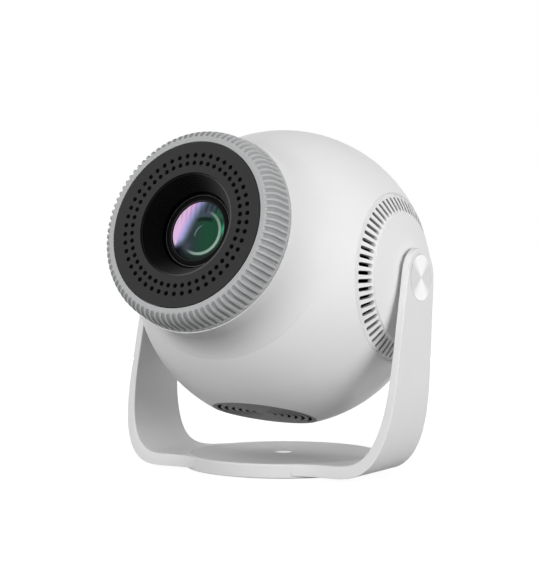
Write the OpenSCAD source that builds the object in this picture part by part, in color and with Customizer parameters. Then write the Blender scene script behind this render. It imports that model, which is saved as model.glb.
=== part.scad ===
// Ball-shaped video projector on a U-shaped tilting stand.
// The origin is the centre of the base's underside, on the tripod thread's axis.
// +Z is up and the lens looks to -Y.
// The head's pieces are drawn with the pivot at the origin and the lens level, then tilted by head_pose().

/* [Ball] */
// Outer radius of the ball-shaped head
ball_r = 80; // [74:1:88]
// Wall of the moulded shells
shell_wall = 2.6; // [2:0.1:3.2]
// Upward tilt of the lens in the resting pose, in degrees
head_tilt = 15.5; // [5:0.5:25]
// Distance from the pivot back to the rear cover's seam
cover_seam = 46; // [45:0.5:50]
// Depth of the flat cut off the bottom of the ball
flat_cut = 5.2; // [4.6:0.1:5.8]

/* [Neck and focus ring] */
// Radius of the neck and of the flange behind the focus ring
neck_r = 51.3; // [49:0.1:53]
// How far the flange's face stands out beyond the ball's radius
neck_reach = 3.7; // [3:0.1:6]
// Radius of the concave sweep from the ball to the neck
neck_sweep = 30; // [22:1:34]
// Length of the focus ring, from the flange to the panel's face
ring_len = 14.9; // [13:0.1:18]
// Radius where the ring's flat front rim ends and its nose starts to round over
rim_r = 44.6; // [44:0.1:46]
// Length of the ring's rounded nose
nose_len = 8; // [6:0.1:9]
// Number of grip grooves round the ring
groove_count = 90; // [60:2:120]
// Radius of a grip groove's section
groove_r = 1.05; // [0.7:0.05:1.15]

/* [Front panel and hood] */
// Radius of the dark front panel
panel_r = 42.2; // [41.6:0.1:42.6]
// Thickness of the front panel
panel_t = 3.1; // [2.4:0.1:4]
// Holes in each of the two rings
hole_count = 48; // [36:4:56]
// Diameter of a hole
hole_d = 2.4; // [1.8:0.1:2.5]
// Radius of the inner ring of holes
hole_ring_in = 31.35; // [31:0.05:32]
// Radius of the outer ring of holes
hole_ring_out = 35.4; // [34.6:0.1:37]
// Radius of the lens hood's mouth
hood_r = 26.3; // [25:0.1:26.6]
// Depth of the lens hood behind the panel's face
hood_depth = 11; // [9:0.1:12]
// Number of light-trapping steps inside the hood
hood_steps = 9; // [6:1:14]

/* [Projection lens] */
// Outer radius of the sliding lens barrel
barrel_r = 18.6; // [17.6:0.1:19.4]
// Wall of the lens barrel
barrel_wall = 2.1; // [1.8:0.1:2.6]
// Distance from the panel's face back to the barrel's front end
barrel_inset = 11.4; // [10:0.1:13]
// Length of the lens barrel
barrel_len = 41; // [38:0.5:44]
// Focus travel each way along the lens axis
focus_travel = 3.5; // [2:0.1:3.8]
// Radius of the glass that shows inside the retaining ring
glass_r = 15.2; // [14.8:0.1:15.5]
// Radius of the front glass's outer surface
glass_curve = 40; // [32:0.5:60]
// Radius of a guide rod
rod_r = 1.3; // [1:0.1:1.5]
// Distance of the guide rods from the lens axis
rod_ring = 28.8; // [28.6:0.1:29]

/* [Side grilles] */
// Radius of the round side grille's seam
grille_r = 44.1; // [42:0.1:45]
// Width of the ring of slots, from the seam in to the plain dome
band_w = 10.1; // [9.6:0.1:12]
// How far the dome's centre lies inside the ball's radius
dome_drop = 2.7; // [2.4:0.1:3.4]
// Number of slots in a side grille
slot_count = 60; // [48:4:72]
// Width of a slot
slot_w = 2; // [1.4:0.1:2.4]
// Length of a slot
slot_len = 7.6; // [6:0.1:8]
// Depth of the band that holds the slots
band_recess = 0.7; // [0.4:0.1:1]

/* [Bottom vent] */
// Radius of the flat vent plate under the ball
vent_r = 27.9; // [26.5:0.1:28]
// Number of curved slots on each side
arc_count = 6; // [4:1:6]
// Distance from one curved slot to the next
arc_pitch = 3.75; // [3.4:0.05:3.8]
// Width of a curved slot
arc_w = 1.8; // [1.2:0.1:2]
// Half the angle that a curved slot spans, in degrees
arc_half = 52; // [40:1:60]

/* [Stand] */
// Height of the pivot above the base's top face
pivot_rise = 94.7; // [93:0.1:110]
// Radius of the round base
base_r = 52.8; // [52:0.1:56]
// Thickness of the round base
base_t = 7.2; // [6.6:0.1:9]
// How far the strap's underside lies above the base's
strap_lift = 1.1; // [0.6:0.1:1.8]
// Thickness of the strap's arms
strap_t = 3.8; // [3.5:0.1:5]
// Radius of an arm's round top end
arm_end_r = 15.4; // [14.5:0.1:17]
// How far the round end's centre lies behind the pivot
arm_shift = 0.6; // [0:0.1:1.5]
// Distance of the strap's front edge ahead of the base's centre, at the floor
foot_front = 41.3; // [36:0.1:44]
// Distance of the strap's rear edge behind the base's centre, at the floor
foot_back = 6.4; // [3:0.2:10]
// Width of the strap's outer corner curve
corner_w = 30.2; // [28:0.1:32]
// Height of the strap's outer corner curve
corner_h = 58.5; // [50:0.5:62]
// Width of the strap's inner corner curve
corner_in_w = 26.3; // [24:0.1:27]
// Height of the strap's inner corner curve
corner_in_h = 58.2; // [50:0.2:60]
// Radius of the concave sweep from the strap's rear edge to the base
foot_sweep = 26; // [18:1:30]
// Radius of the concave sweep from the strap's front edge to the base
front_sweep = 30; // [20:1:36]
// Radius of the cover set into the base's top
cover_r = 50.25; // [48:0.05:50.4]
// Thickness of that cover
cover_t = 1.6; // [1.2:0.1:2]
// Thickness of the steel weight inside the base
weight_t = 2.4; // [1.6:0.1:2.6]
// How far the rubber pad stands out under the base
pad_proud = 0.6; // [0.4:0.1:1]

/* [Pivot] */
// Radius of the pivot bolts
bolt_r = 4; // [3:0.1:5]
// Radius of the spun metal pivot caps
cap_r = 12; // [11:0.1:12.6]
// How far a cap stands out of the arm
cap_proud = 0.3; // [0.1:0.1:0.8]
// Gap between an arm and the dome that faces it
pivot_gap = 0.8; // [0.6:0.1:1.2]

/* [Light engine] */
// Height of the light engine's case
engine_h = 50; // [46:0.5:52]
// Wall of the light engine's case
engine_wall = 2; // [1.6:0.1:2.4]
// Distance from the pivot back to the case's rear face
engine_back = 32; // [30:0.5:34]
// Gap between the heat sink's fins and the socket board
sink_gap = 5.3; // [3:0.1:8]
// Side of the square exhaust fan
fan_w = 50; // [44:1:52]
// Thickness of the exhaust fan
fan_t = 12; // [10:0.5:12]

/* [Rear sockets] */
// Radius of the socket panel in the rear cover
io_r = 24; // [23.4:0.1:25]
// Radius of the power button
button_r = 4.6; // [3.8:0.1:5]
// Travel of the power button
button_travel = 1.2; // [0.6:0.1:1.6]

/* [Clearances] */
// Radial clearance of turning and sliding fits
run_gap = 0.05; // [0.03:0.01:0.08]
// Gap between faces that move past each other
move_gap = 0.3; // [0.25:0.05:0.4]
// Gap round a piece that is set into another
seat_gap = 0.15; // [0.1:0.05:0.2]

/* [Hidden] */
$fn = 96;
eps = 0.01;
far = 200;

// Heights of the stand
base_top = pad_proud + base_t;
pivot_h = base_top + pivot_rise;
strap_floor = pad_proud + strap_lift;
front_edge = foot_front + (arm_end_r - foot_front) * base_top / pivot_h;
back_edge = foot_back + (arm_end_r - foot_back) * base_top / pivot_h;
web_h = base_top + corner_in_h / 2;
weight_r = cover_r - 6;
insert_r = 4.5;
thread_wall_r = 2.6;
thread_depth = base_top - 1.6;
pad_out = base_r - 4;
pad_in = 30;
pad_top = pad_proud + 0.5;

// Places across the head, from the pivot outwards along X
ball_in = ball_r - shell_wall;
dome_x = ball_r - dome_drop;
arm_in = dome_x + pivot_gap;
arm_out = arm_in + strap_t;
cap_t = 1.3;
bolt_head_t = 1.1;
cap_seat = arm_out + cap_proud - cap_t;
bolt_seat = cap_seat - bolt_head_t;
bolt_head_r = cap_r - 2;
hub_r = 12;
hub_t = 3.5;
hub_face = dome_x - 7.3;
nut_t = 3.6;
nut_r = 6.5;
nut_face = hub_face - hub_t - move_gap;
nut_back = nut_face - nut_t;
dome_r = grille_r - band_w;
dome_sag = dome_x - sqrt(ball_r * ball_r - dome_r * dome_r);
dome_curve = (dome_r * dome_r + dome_sag * dome_sag) / (2 * dome_sag);

// Places along the lens axis, from the pivot forwards
flange_h = ball_r + neck_reach;
panel_h = flange_h + ring_len;
flange_t = 1.6;
neck_in = neck_r - shell_wall;
sweep_r = neck_r + neck_sweep;
sweep_h = sqrt(pow(ball_r + neck_sweep, 2) - sweep_r * sweep_r);
sweep_angle = atan2(sweep_h, sweep_r);
ring_back = flange_h + move_gap;
panel_back = panel_h - panel_t;
panel_gap = 0.35;
thread_r = panel_r - 1.7;
sleeve_t = 3.1;
spigot_in = thread_r + sleeve_t + move_gap;
spigot_t = 2;
spigot_r = spigot_in + spigot_t;
spigot_h = flange_h + 6.3;
barrel_front = panel_h - barrel_inset;
barrel_back = barrel_front - barrel_len;
barrel_in = barrel_r - barrel_wall;
hood_back = panel_h - hood_depth;
hood_wall = 1.2;
carrier_t = 3;
carrier_front = hood_back - focus_travel - 1.2;
carrier_back = carrier_front - carrier_t;
sleeve_back = carrier_back - focus_travel - 0.6;
mount_t = 4;
mount_front = min(carrier_back - focus_travel - 10, sqrt(ball_in * ball_in - neck_in * neck_in) + 5);
mount_back = mount_front - mount_t;
guide_wall = 2.2;
guide_front = carrier_back - focus_travel - 1;
guide_back = barrel_back + focus_travel + 2;
rod_count = 3;

// Places of the glass along the barrel
lens_rim_r = barrel_in - 0.1;
glass_rise = 1.9;
front_lens_apex = barrel_front + glass_rise;
front_lens_len = 12;
front_lens_back = barrel_front - front_lens_len;
retainer_seat = barrel_front - 3;
retainer_back = front_lens_apex - glass_curve + sqrt(pow(glass_curve, 2) - pow(glass_r, 2)) + run_gap;
middle_lens_len = 8;
middle_curve = 40;
rear_lens_t = 6;
rear_ring_t = 2;
rear_lens_front = barrel_back + rear_ring_t + rear_lens_t;
ring_step = 1.1;
lens_step = 2;
shoulder_t = 1.5;
middle_lens_apex = front_lens_back - shoulder_t;
middle_lens_back = middle_lens_apex - middle_lens_len;

// Light engine and what it carries
engine_front = mount_back;
engine_w = 2 * (sqrt(pow(neck_in - 3.8, 2) - pow(engine_h / 2, 2)));
inner_w = engine_w - 2 * engine_wall;
inner_h = engine_h - 2 * engine_wall;
plate_t = 2;
plate_pitch = 6;
condenser_gap = 11;
condenser_t = 8;
condenser_curve = 45;
board_t = 1.6;
board_gap = 9;
chip_w = 15;
chip_h = 6;
can_gap = 16;
can_r = 5;
can_h = 12;
coil_w = 24;
coil_h = 10;
sink_t = 4;
fan_gap = 3;
fan_out = nut_back - fan_gap;
fan_in = fan_out - fan_t;
post_r = 2.4;
engine_mid = (engine_back - engine_front) / 2;
engine_len = engine_back + engine_front;
board_trim = 26;
board_len = engine_len - board_trim;
board_w = engine_w - 8;
light_r = inner_h / 2 - 3;
fan_hub_r = 11;
fan_shaft_r = 1.5;
fan_plate_t = 1.6;
blade_count = 7;

// Rear cover, its screws and the socket panel
screw_ring = sqrt(ball_in * ball_in - cover_seam * cover_seam) - 3.8;
screw_r = 1.5;
screw_head_r = 2.8;
screw_boss_r = 3.4;
screw_seat = cover_seam + 2.6;
post_len = 12;
flat_z = ball_r - flat_cut;
vent_plate = 2.2;
arc_inset = 2.1;
vent_wall = 2;
filter_t = 1.2;
io_face = sqrt(ball_r * ball_r - io_r * io_r) - 0.4;
io_t = 2;
io_back = io_face - io_t;
io_lip = 3;
io_flange = sqrt(ball_in * ball_in - pow(io_r + io_lip, 2)) - seat_gap;
socket_len = 17;
socket_depth = 11;
io_board_face = io_face - socket_len;
sink_back = io_board_face - board_t - sink_gap;
io_post = [15.5, 12.5];
hdmi_at = [-9.5, -1.5];
hdmi_size = [15.6, 6.4];
usb_at = [9.5, -1.5];
usb_size = [14, 6.8];
audio_at = [-7.5, -12];
audio_r = 3.2;
dc_at = [7.5, -12];
dc_r = 4.2;
ir_at = [0, 18.6];
ir_r = 2.2;
button_at = [0, 9.5];
socket_wall = 0.8;
socket_floor = io_face - socket_depth;
switch_h = 3.4;
button_back = io_board_face + switch_h + button_travel + move_gap;

// Point list of an arc about a centre
function arc(centre, r, a0, a1, n) =
    [for (i = [0:n]) centre + r * [cos(a0 + (a1 - a0) * i / n), sin(a0 + (a1 - a0) * i / n)]];

// Point where a line from p touches a circle
function touch(centre, r, p, side) =
    let (d = p - centre, a = atan2(d[1], d[0]) + side * acos(r / norm(d)))
    centre + r * [cos(a), sin(a)];

// Places the head's pieces at their resting tilt
module head_pose() {
    translate([0, 0, pivot_h]) rotate([-head_tilt, 0, 0]) children();
}

// Turns local +Z to the lens axis, towards the front
module along_lens() {
    head_pose() rotate([90, 0, 0]) children();
}

// Turns local +Z to the rear of the head
module along_rear() {
    head_pose() rotate([-90, 0, 0]) children();
}

// Turns local +Z to the head's right or left side
module along_side(side) {
    head_pose() rotate([0, side * 90, 0]) children();
}

// Turns local +Z to the right or left side of the stand, at the pivot
module stand_side(side) {
    translate([0, 0, pivot_h]) rotate([0, side * 90, 0]) children();
}

// Ring with a square section
module tube(r_out, r_in, z0, z1) {
    difference() {
        translate([0, 0, z0]) cylinder(r = r_out, h = z1 - z0);
        translate([0, 0, z0 - 1]) cylinder(r = r_in, h = z1 - z0 + 2);
    }
}

// Box centred in X and Y, between two heights
module slab(w, d, z0, z1) {
    translate([-w / 2, -d / 2, z0]) cube([w, d, z1 - z0]);
}

// Lens with a curved front and a flat back, its rim between back and the curve
module plano_lens(r, back, apex, curve) {
    intersection() {
        translate([0, 0, apex - curve]) sphere(r = curve, $fn = 120);
        translate([0, 0, back]) cylinder(r = r, h = apex - back + 1);
    }
}

// STAND

// Corner of the strap, a superellipse of power 3, from an upright face at x down to a level floor
function corner_curve(n, x, floor, w, h) =
    [for (i = [0:n]) let (t = 90 * i / n)
        [x + w * (pow(cos(t), 2 / 3) - 1), floor + h * (1 - pow(sin(t), 2 / 3))]];

// Space above one face of the bent strap, seen from the front
module above_strap(x, floor, w, h) {
    curve = corner_curve(24, x, floor, w, h);
    for (side = [0, 1]) {
        mirror([side, 0, 0]) polygon(concat([[0, floor], [0, far], [x, far]], curve));
    }
}

// Outline of an arm seen from the side: a round end that widens down to the foot
module arm_outline() {
    centre = [arm_shift, pivot_h];
    front = [-foot_front, 0];
    back = [foot_back, 0];
    inside = arm_end_r - 0.05;
    translate(centre) circle(arm_end_r);
    polygon([touch(centre, inside, front, -1), front, back, touch(centre, inside, back, 1)]);
}

// Concave sweep between the base's rim and one edge of the strap
module foot_web(edge, sweep) {
    y = edge + sweep;
    centre = [sqrt(pow(base_r + sweep, 2) - y * y), y];
    rim = centre * base_r / (base_r + sweep);
    difference() {
        polygon([[0, 0], [centre[0], 0], [centre[0], edge], centre, rim, rim * 0.8]);
        translate(centre) circle(sweep);
    }
}

module stand_bracket() {
    color("gainsboro") difference() {
        union() {
            intersection() {
                rotate([90, 0, 0]) translate([0, 0, -far / 2]) linear_extrude(far) difference() {
                    above_strap(arm_out, strap_floor, corner_w, corner_h);
                    above_strap(arm_in, base_top, corner_in_w, corner_in_h);
                }
                union() {
                    rotate([90, 0, 90]) translate([0, 0, -far / 2]) linear_extrude(far) arm_outline();
                    for (side = [0, 1]) {
                        mirror([side, 0, 0]) linear_extrude(web_h) union() {
                            foot_web(back_edge, foot_sweep);
                            mirror([0, 1, 0]) foot_web(front_edge, front_sweep);
                        }
                    }
                }
            }
            translate([0, 0, pad_proud]) cylinder(r = base_r, h = base_t, $fn = 180);
        }
        translate([0, 0, base_top - cover_t]) cylinder(r = cover_r + seat_gap, h = far, $fn = 180);
        translate([0, 0, base_top - cover_t - weight_t]) cylinder(r = weight_r + seat_gap, h = far);
        translate([0, 0, -1]) cylinder(r = insert_r + eps, h = far);
        tube(pad_out + seat_gap, pad_in - seat_gap, -1, pad_top);
        for (side = [-1, 1]) {
            stand_side(side) translate([0, 0, bolt_seat]) cylinder(r = cap_r + seat_gap, h = far);
            stand_side(side) cylinder(r = bolt_r + seat_gap, h = far);
        }
    }
}

module base_cover() {
    color("whitesmoke") tube(cover_r, insert_r + seat_gap, base_top - cover_t, base_top);
}

module base_weight() {
    color("dimgray") tube(weight_r, insert_r + seat_gap, base_top - cover_t - weight_t, base_top - cover_t);
}

module tripod_insert() {
    color("silver") difference() {
        cylinder(r = insert_r, h = base_top);
        translate([0, 0, -1]) cylinder(r = thread_wall_r, h = thread_depth + 1);
    }
}

module base_pad() {
    color("dimgray") tube(pad_out, pad_in, 0, pad_top);
}

module pivot_cap(side) {
    color("silver") stand_side(side) translate([0, 0, cap_seat]) cylinder(r = cap_r, h = cap_t);
}

module pivot_cap_left() { pivot_cap(-1); }
module pivot_cap_right() { pivot_cap(1); }

module pivot_bolt(side) {
    color("gray") stand_side(side) union() {
        translate([0, 0, bolt_seat]) cylinder(r = bolt_head_r, h = bolt_head_t);
        translate([0, 0, nut_back]) cylinder(r = bolt_r, h = bolt_seat - nut_back + eps);
    }
}

module pivot_bolt_left() { pivot_bolt(-1); }
module pivot_bolt_right() { pivot_bolt(1); }

module pivot_nut(side) {
    color("darkgray") stand_side(side) difference() {
        translate([0, 0, nut_back]) cylinder(r = nut_r, h = nut_t, $fn = 6);
        translate([0, 0, nut_back - 1]) cylinder(r = bolt_r + eps, h = nut_t + 2);
    }
}

module pivot_nut_left() { pivot_nut(-1); }
module pivot_nut_right() { pivot_nut(1); }

module friction_washer(side) {
    color("black") stand_side(side) tube(bolt_head_r, bolt_r + seat_gap, dome_x + pivot_gap / 4, arm_in);
}

module friction_washer_left() { friction_washer(-1); }
module friction_washer_right() { friction_washer(1); }

// HEAD SHELLS

// Solid of the neck about the lens axis, with its flange and the spigot that the focus ring turns on
module neck_solid() {
    sweep = arc([sweep_r, sweep_h], neck_sweep, 180 + sweep_angle, 180, 10);
    start = 0.99 * sweep[0];
    rotate_extrude() polygon(concat([[0, start[1]], start], [for (i = [1:10]) sweep[i]],
        [[neck_r, flange_h], [spigot_r, flange_h], [spigot_r, spigot_h], [0, spigot_h]]));
}

// Screw positions about the head's front-to-rear axis
module at_cover_screws() {
    for (turn = [45:90:315]) {
        rotate([0, 0, turn]) translate([screw_ring, 0, 0]) children();
    }
}

module front_shell() {
    color("gainsboro") difference() {
        union() {
            difference() {
                union() {
                    head_pose() sphere(r = ball_r, $fn = 180);
                    along_lens() neck_solid();
                }
                head_pose() sphere(r = ball_in, $fn = 180);
                along_lens() cylinder(r = neck_in, h = flange_h - flange_t);
                along_lens() cylinder(r = spigot_in, h = far);
                head_pose() translate([-far / 2, cover_seam, -far / 2]) cube(far);
            }
            cover_posts();
        }
        along_rear() at_cover_screws() cylinder(r = screw_r - 0.1, h = far);
        head_pose() translate([-far / 2, -far / 2, -far - flat_z]) cube(far);
        head_pose() translate([0, 0, -far]) cylinder(r = vent_r + seat_gap, h = far);
        for (side = [-1, 1]) {
            along_side(side) translate([0, 0, ball_r / 2]) cylinder(r = grille_r, h = far, $fn = 120);
        }
    }
}

// Posts that take the rear cover's screws, each with a rib out to the shell
module cover_posts() {
    rib_t = 2.4;
    intersection() {
        head_pose() sphere(r = ball_in + shell_wall / 2, $fn = 180);
        along_rear() at_cover_screws() union() {
            translate([0, 0, cover_seam - post_len]) cylinder(r = screw_boss_r, h = post_len);
            translate([0, -rib_t / 2, cover_seam - post_len]) cube([far, rib_t, post_len]);
        }
    }
}

module rear_cover() {
    color("gainsboro") difference() {
        union() {
            difference() {
                head_pose() sphere(r = ball_r, $fn = 180);
                head_pose() sphere(r = ball_in, $fn = 180);
            }
            intersection() {
                head_pose() sphere(r = ball_in + shell_wall / 2, $fn = 180);
                along_rear() at_cover_screws() translate([0, 0, cover_seam])
                    cylinder(r = screw_boss_r, h = far);
            }
        }
        head_pose() translate([-far / 2, cover_seam - far, -far / 2]) cube(far);
        along_rear() cylinder(r = io_r + seat_gap, h = far);
        along_rear() at_cover_screws() cylinder(r = screw_r + seat_gap, h = far);
        along_rear() at_cover_screws() translate([0, 0, screw_seat])
            cylinder(r = screw_head_r + seat_gap, h = far);
    }
}

module cover_screws() {
    tip = cover_seam - post_len + 2;
    color("darkgray") along_rear() at_cover_screws() union() {
        translate([0, 0, screw_seat]) cylinder(r = screw_head_r, h = 1.6);
        translate([0, 0, tip]) cylinder(r = screw_r - 0.15, h = screw_seat - tip + eps);
    }
}

// Radial slots with round inner ends, as a flat pattern
module slot_pattern() {
    r_in = dome_r + slot_w / 2 + 0.2;
    for (i = [0:slot_count - 1]) {
        rotate(i * 360 / slot_count) {
            translate([r_in, 0]) circle(slot_w / 2, $fn = 24);
            translate([r_in, -slot_w / 2]) square([slot_len - slot_w / 2, slot_w]);
        }
    }
}

module side_grille(side) {
    skirt_in = grille_r - seat_gap - 2;
    skirt_x = sqrt(ball_in * ball_in - grille_r * grille_r) - 3;
    color("whitesmoke") along_side(side) difference() {
        union() {
            intersection() {
                translate([0, 0, ball_r / 2]) cylinder(r = grille_r - seat_gap, h = far, $fn = 120);
                difference() {
                    sphere(r = ball_r, $fn = 180);
                    sphere(r = ball_in - band_recess, $fn = 180);
                }
            }
            intersection() {
                tube(grille_r - seat_gap, skirt_in, skirt_x, ball_r);
                sphere(r = ball_r - shell_wall / 2, $fn = 180);
            }
            translate([0, 0, hub_face]) cylinder(r = hub_r - 2, h = ball_in - hub_face);
        }
        difference() {
            tube(dome_r + slot_len + slot_w, dome_r, ball_r / 2, far);
            sphere(r = ball_r - band_recess, $fn = 180);
        }
        difference() {
            translate([0, 0, ball_r / 2]) cylinder(r = dome_r + eps, h = far);
            translate([0, 0, dome_x - dome_curve]) sphere(r = dome_curve, $fn = 180);
        }
        translate([0, 0, skirt_x - 1]) linear_extrude(far) slot_pattern();
        cylinder(r = bolt_r + move_gap, h = far);
    }
}

module side_grille_left() { side_grille(-1); }
module side_grille_right() { side_grille(1); }

module grille_mesh(side) {
    mesh_x = sqrt(ball_in * ball_in - grille_r * grille_r) - 2.4;
    color("black") along_side(side) tube(grille_r - seat_gap * 2 - 2, dome_r - 2, mesh_x, mesh_x + 1.2);
}

module grille_mesh_left() { grille_mesh(-1); }
module grille_mesh_right() { grille_mesh(1); }

module pivot_hub(side) {
    color("slategray") along_side(side) tube(hub_r, bolt_r + run_gap, hub_face - hub_t, hub_face);
}

module pivot_hub_left() { pivot_hub(-1); }
module pivot_hub_right() { pivot_hub(1); }

// Curved slots in two groups that face the left and right sides, as a flat pattern
module arc_pattern() {
    for (side = [0, 180], i = [1:arc_count]) {
        r = arc_inset + i * arc_pitch;
        rotate(side) intersection() {
            difference() {
                circle(r + arc_w / 2);
                circle(r - arc_w / 2);
            }
            polygon([[0, 0], [far, far * tan(arc_half)], [far, -far * tan(arc_half)]]);
        }
    }
}

module bottom_vent() {
    lip = 3;
    seat = sqrt(ball_in * ball_in - pow(vent_r + lip, 2));
    color("gainsboro") head_pose() mirror([0, 0, 1]) difference() {
        rotate_extrude() polygon([[0, flat_z - vent_plate], [vent_r - vent_wall, flat_z - vent_plate],
            [vent_r - vent_wall, seat - 1.6], [vent_r + lip, seat - 1.6], [vent_r + lip, seat],
            [vent_r, seat], [vent_r, flat_z], [0, flat_z]]);
        translate([0, 0, flat_z - vent_plate - 1]) linear_extrude(vent_plate + 2) arc_pattern();
    }
}

module vent_filter() {
    color("black") head_pose() mirror([0, 0, 1]) translate([0, 0, flat_z - vent_plate - filter_t])
        cylinder(r = vent_r - vent_wall - seat_gap, h = filter_t);
}

// FRONT PANEL, FOCUS RING AND LENS

// Rod positions about the lens axis
module at_rods() {
    for (turn = [90:360 / rod_count:449]) {
        rotate([0, 0, turn]) translate([rod_ring, 0, 0]) children();
    }
}

module lens_mount() {
    bore = barrel_r + run_gap;
    tube_r = bore + guide_wall;
    plate_r = neck_in - seat_gap;
    color("dimgray") along_lens() rotate_extrude() polygon([[bore, guide_back], [tube_r, guide_back],
        [tube_r, mount_back], [plate_r, mount_back], [plate_r, mount_front],
        [tube_r, mount_front], [tube_r, guide_front], [bore, guide_front]]);
}

module guide_rods() {
    color("silver") along_lens() at_rods() translate([0, 0, mount_front])
        cylinder(r = rod_r, h = panel_back - mount_front, $fn = 32);
}

module front_panel() {
    color("#3c3d40") along_lens() translate([0, 0, panel_back]) linear_extrude(panel_t) difference() {
        circle(panel_r, $fn = 120);
        circle(hood_r + seat_gap);
        for (i = [0:hole_count - 1]) {
            rotate(i * 360 / hole_count) {
                translate([hole_ring_in, 0]) circle(d = hole_d, $fn = 24);
                translate([hole_ring_out, 0]) circle(d = hole_d, $fn = 24);
            }
        }
    }
}

// Inner profile of the hood: equal steps from the mouth down to the lens
function hood_stairs() =
    let (r0 = hood_r - hood_wall, r1 = barrel_r + 2 * move_gap, dr = (r0 - r1) / hood_steps)
    let (dh = (hood_depth - 1) / hood_steps)
    [for (i = [0:hood_steps - 1], half = [0, 1]) [r0 - i * dr, panel_h - 0.4 - (i + half) * dh]];

module lens_hood() {
    lip = 1;
    inner = hood_stairs();
    last = inner[len(inner) - 1];
    color("#16171a") along_lens() rotate_extrude() polygon(concat([[hood_r, panel_h - 0.4]], inner,
        [[last[0], hood_back], [last[0] + hood_wall, hood_back], [hood_r, panel_back - 2.2],
        [hood_r + lip, panel_back - 1.2], [hood_r + lip, panel_back], [hood_r, panel_back]]));
}

module focus_ring() {
    nose_r = neck_r - 1.3;
    nose = [for (a = [0:15:90])
        [rim_r + (nose_r - rim_r) * sin(a), panel_h + 0.1 - nose_len * (1 - cos(a))]];
    lip = panel_back - move_gap;
    sleeve_r = thread_r + sleeve_t;
    spigot_bore = spigot_r + run_gap;
    lean = atan2(neck_r - 0.1 - nose_r, panel_h - nose_len - ring_back);
    color("#b3b5b7") along_lens() difference() {
        rotate_extrude() polygon(concat(nose, [[neck_r - 0.1, ring_back], [spigot_bore, ring_back],
            [spigot_bore, spigot_h + move_gap], [sleeve_r, spigot_h + move_gap], [sleeve_r, sleeve_back],
            [thread_r, sleeve_back], [thread_r, lip], [panel_r + panel_gap, lip],
            [panel_r + panel_gap, panel_h + 0.1]]));
        for (i = [0:groove_count - 1]) {
            rotate([0, 0, i * 360 / groove_count]) translate([neck_r + 0.2, 0, ring_back - 1])
                rotate([0, -lean, 0]) cylinder(r = groove_r, h = ring_len + 4, $fn = 16);
        }
    }
}

module lens_barrel() {
    seat_r = barrel_in + ring_step;
    step_r = barrel_in - lens_step;
    shoulder = front_lens_back;
    color("#1d1e21") along_lens() rotate_extrude() polygon([[barrel_in, barrel_back], [barrel_r, barrel_back],
        [barrel_r, barrel_front], [seat_r, barrel_front], [seat_r, retainer_seat],
        [barrel_in, retainer_seat], [barrel_in, shoulder], [step_r, shoulder],
        [step_r, shoulder - shoulder_t], [barrel_in, shoulder - shoulder_t]]);
}

module lens_carrier() {
    rim_t = 4;
    color("#2a2b2e") along_lens() translate([0, 0, carrier_back]) linear_extrude(carrier_t) difference() {
        circle(thread_r - run_gap);
        circle(barrel_r + 0.02);
        for (turn = [90:360 / rod_count:449]) {
            rotate(turn) translate([rod_ring, 0]) circle(rod_r + run_gap, $fn = 32);
            rotate(turn + 60) translate([rod_ring, 0]) circle(rod_ring - barrel_r - rim_t);
        }
    }
}

module lens_retaining_ring() {
    skirt_r = barrel_in - run_gap;
    rim = barrel_in + ring_step - run_gap;
    face = barrel_front - 0.1;
    bevel = 0.45;
    color("#101114") along_lens() rotate_extrude() polygon([[glass_r, retainer_back],
        [skirt_r, retainer_back], [skirt_r, retainer_seat], [rim, retainer_seat],
        [rim, face], [glass_r + bevel, face], [glass_r, face - bevel]]);
}

module front_lens() {
    color("#7fb0a8") along_lens() plano_lens(lens_rim_r, front_lens_back, front_lens_apex, glass_curve);
}

module middle_lens() {
    color("#9fc0c0") along_lens() plano_lens(lens_rim_r, middle_lens_back, middle_lens_apex, middle_curve);
}

module lens_spacer() {
    color("#2a2b2e") along_lens() tube(lens_rim_r, barrel_in - lens_step, rear_lens_front, middle_lens_back);
}

module rear_lens() {
    color("#9fc0c0") along_lens() translate([0, 0, barrel_back + rear_ring_t])
        cylinder(r = lens_rim_r, h = rear_lens_front - barrel_back - rear_ring_t);
}

module rear_lens_ring() {
    inner = barrel_in - lens_step;
    color("#2a2b2e") along_lens() tube(lens_rim_r, inner, barrel_back, barrel_back + rear_ring_t);
}

// LIGHT ENGINE AND ELECTRONICS

// Posts on the case: four corners of a rectangle
module corner_posts(w, d, z0, z1) {
    for (x = [-w / 2, w / 2], y = [-d / 2, d / 2]) {
        translate([x, y, z0]) cylinder(r = post_r, h = z1 - z0, $fn = 32);
    }
}

module engine_housing() {
    color("#303236") difference() {
        union() {
            along_rear() slab(engine_w, engine_h, -engine_front, engine_back);
            head_pose() translate([0, engine_mid, 0])
                corner_posts(board_w - 6, board_len - 6, engine_h / 2 - 1, engine_h / 2 + board_gap);
            head_pose() translate([0, engine_mid, 0])
                corner_posts(board_w - 6, board_len - 6, -engine_h / 2 - board_gap, 1 - engine_h / 2);
            for (side = [-1, 1]) {
                along_side(side) corner_posts(fan_w - 6, engine_h - 2 * post_r, engine_w / 2 - 1, fan_in);
            }
        }
        along_rear() slab(inner_w, inner_h, engine_wall - engine_front, engine_back - engine_wall);
        along_rear() cylinder(r = light_r, h = far);
        along_lens() cylinder(r = barrel_r + run_gap + guide_wall + seat_gap, h = far);
    }
}

// Flat optical plate that fills the case's section
module optical_plate(y) {
    along_rear() slab(inner_w - 2 * seat_gap, inner_h - 2 * seat_gap, y, y + plate_t);
}

module front_fresnel() { color("lightcyan") optical_plate(-plate_pitch - plate_t); }
module lcd_panel() { color("darkslategray") optical_plate(-plate_t); }
module rear_fresnel() { color("lightcyan") optical_plate(plate_pitch - plate_t); }

module condenser_lens() {
    back = condenser_gap - engine_back;
    color("azure") along_lens() plano_lens(inner_h / 2 - seat_gap, back, back + condenser_t, condenser_curve);
}

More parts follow.
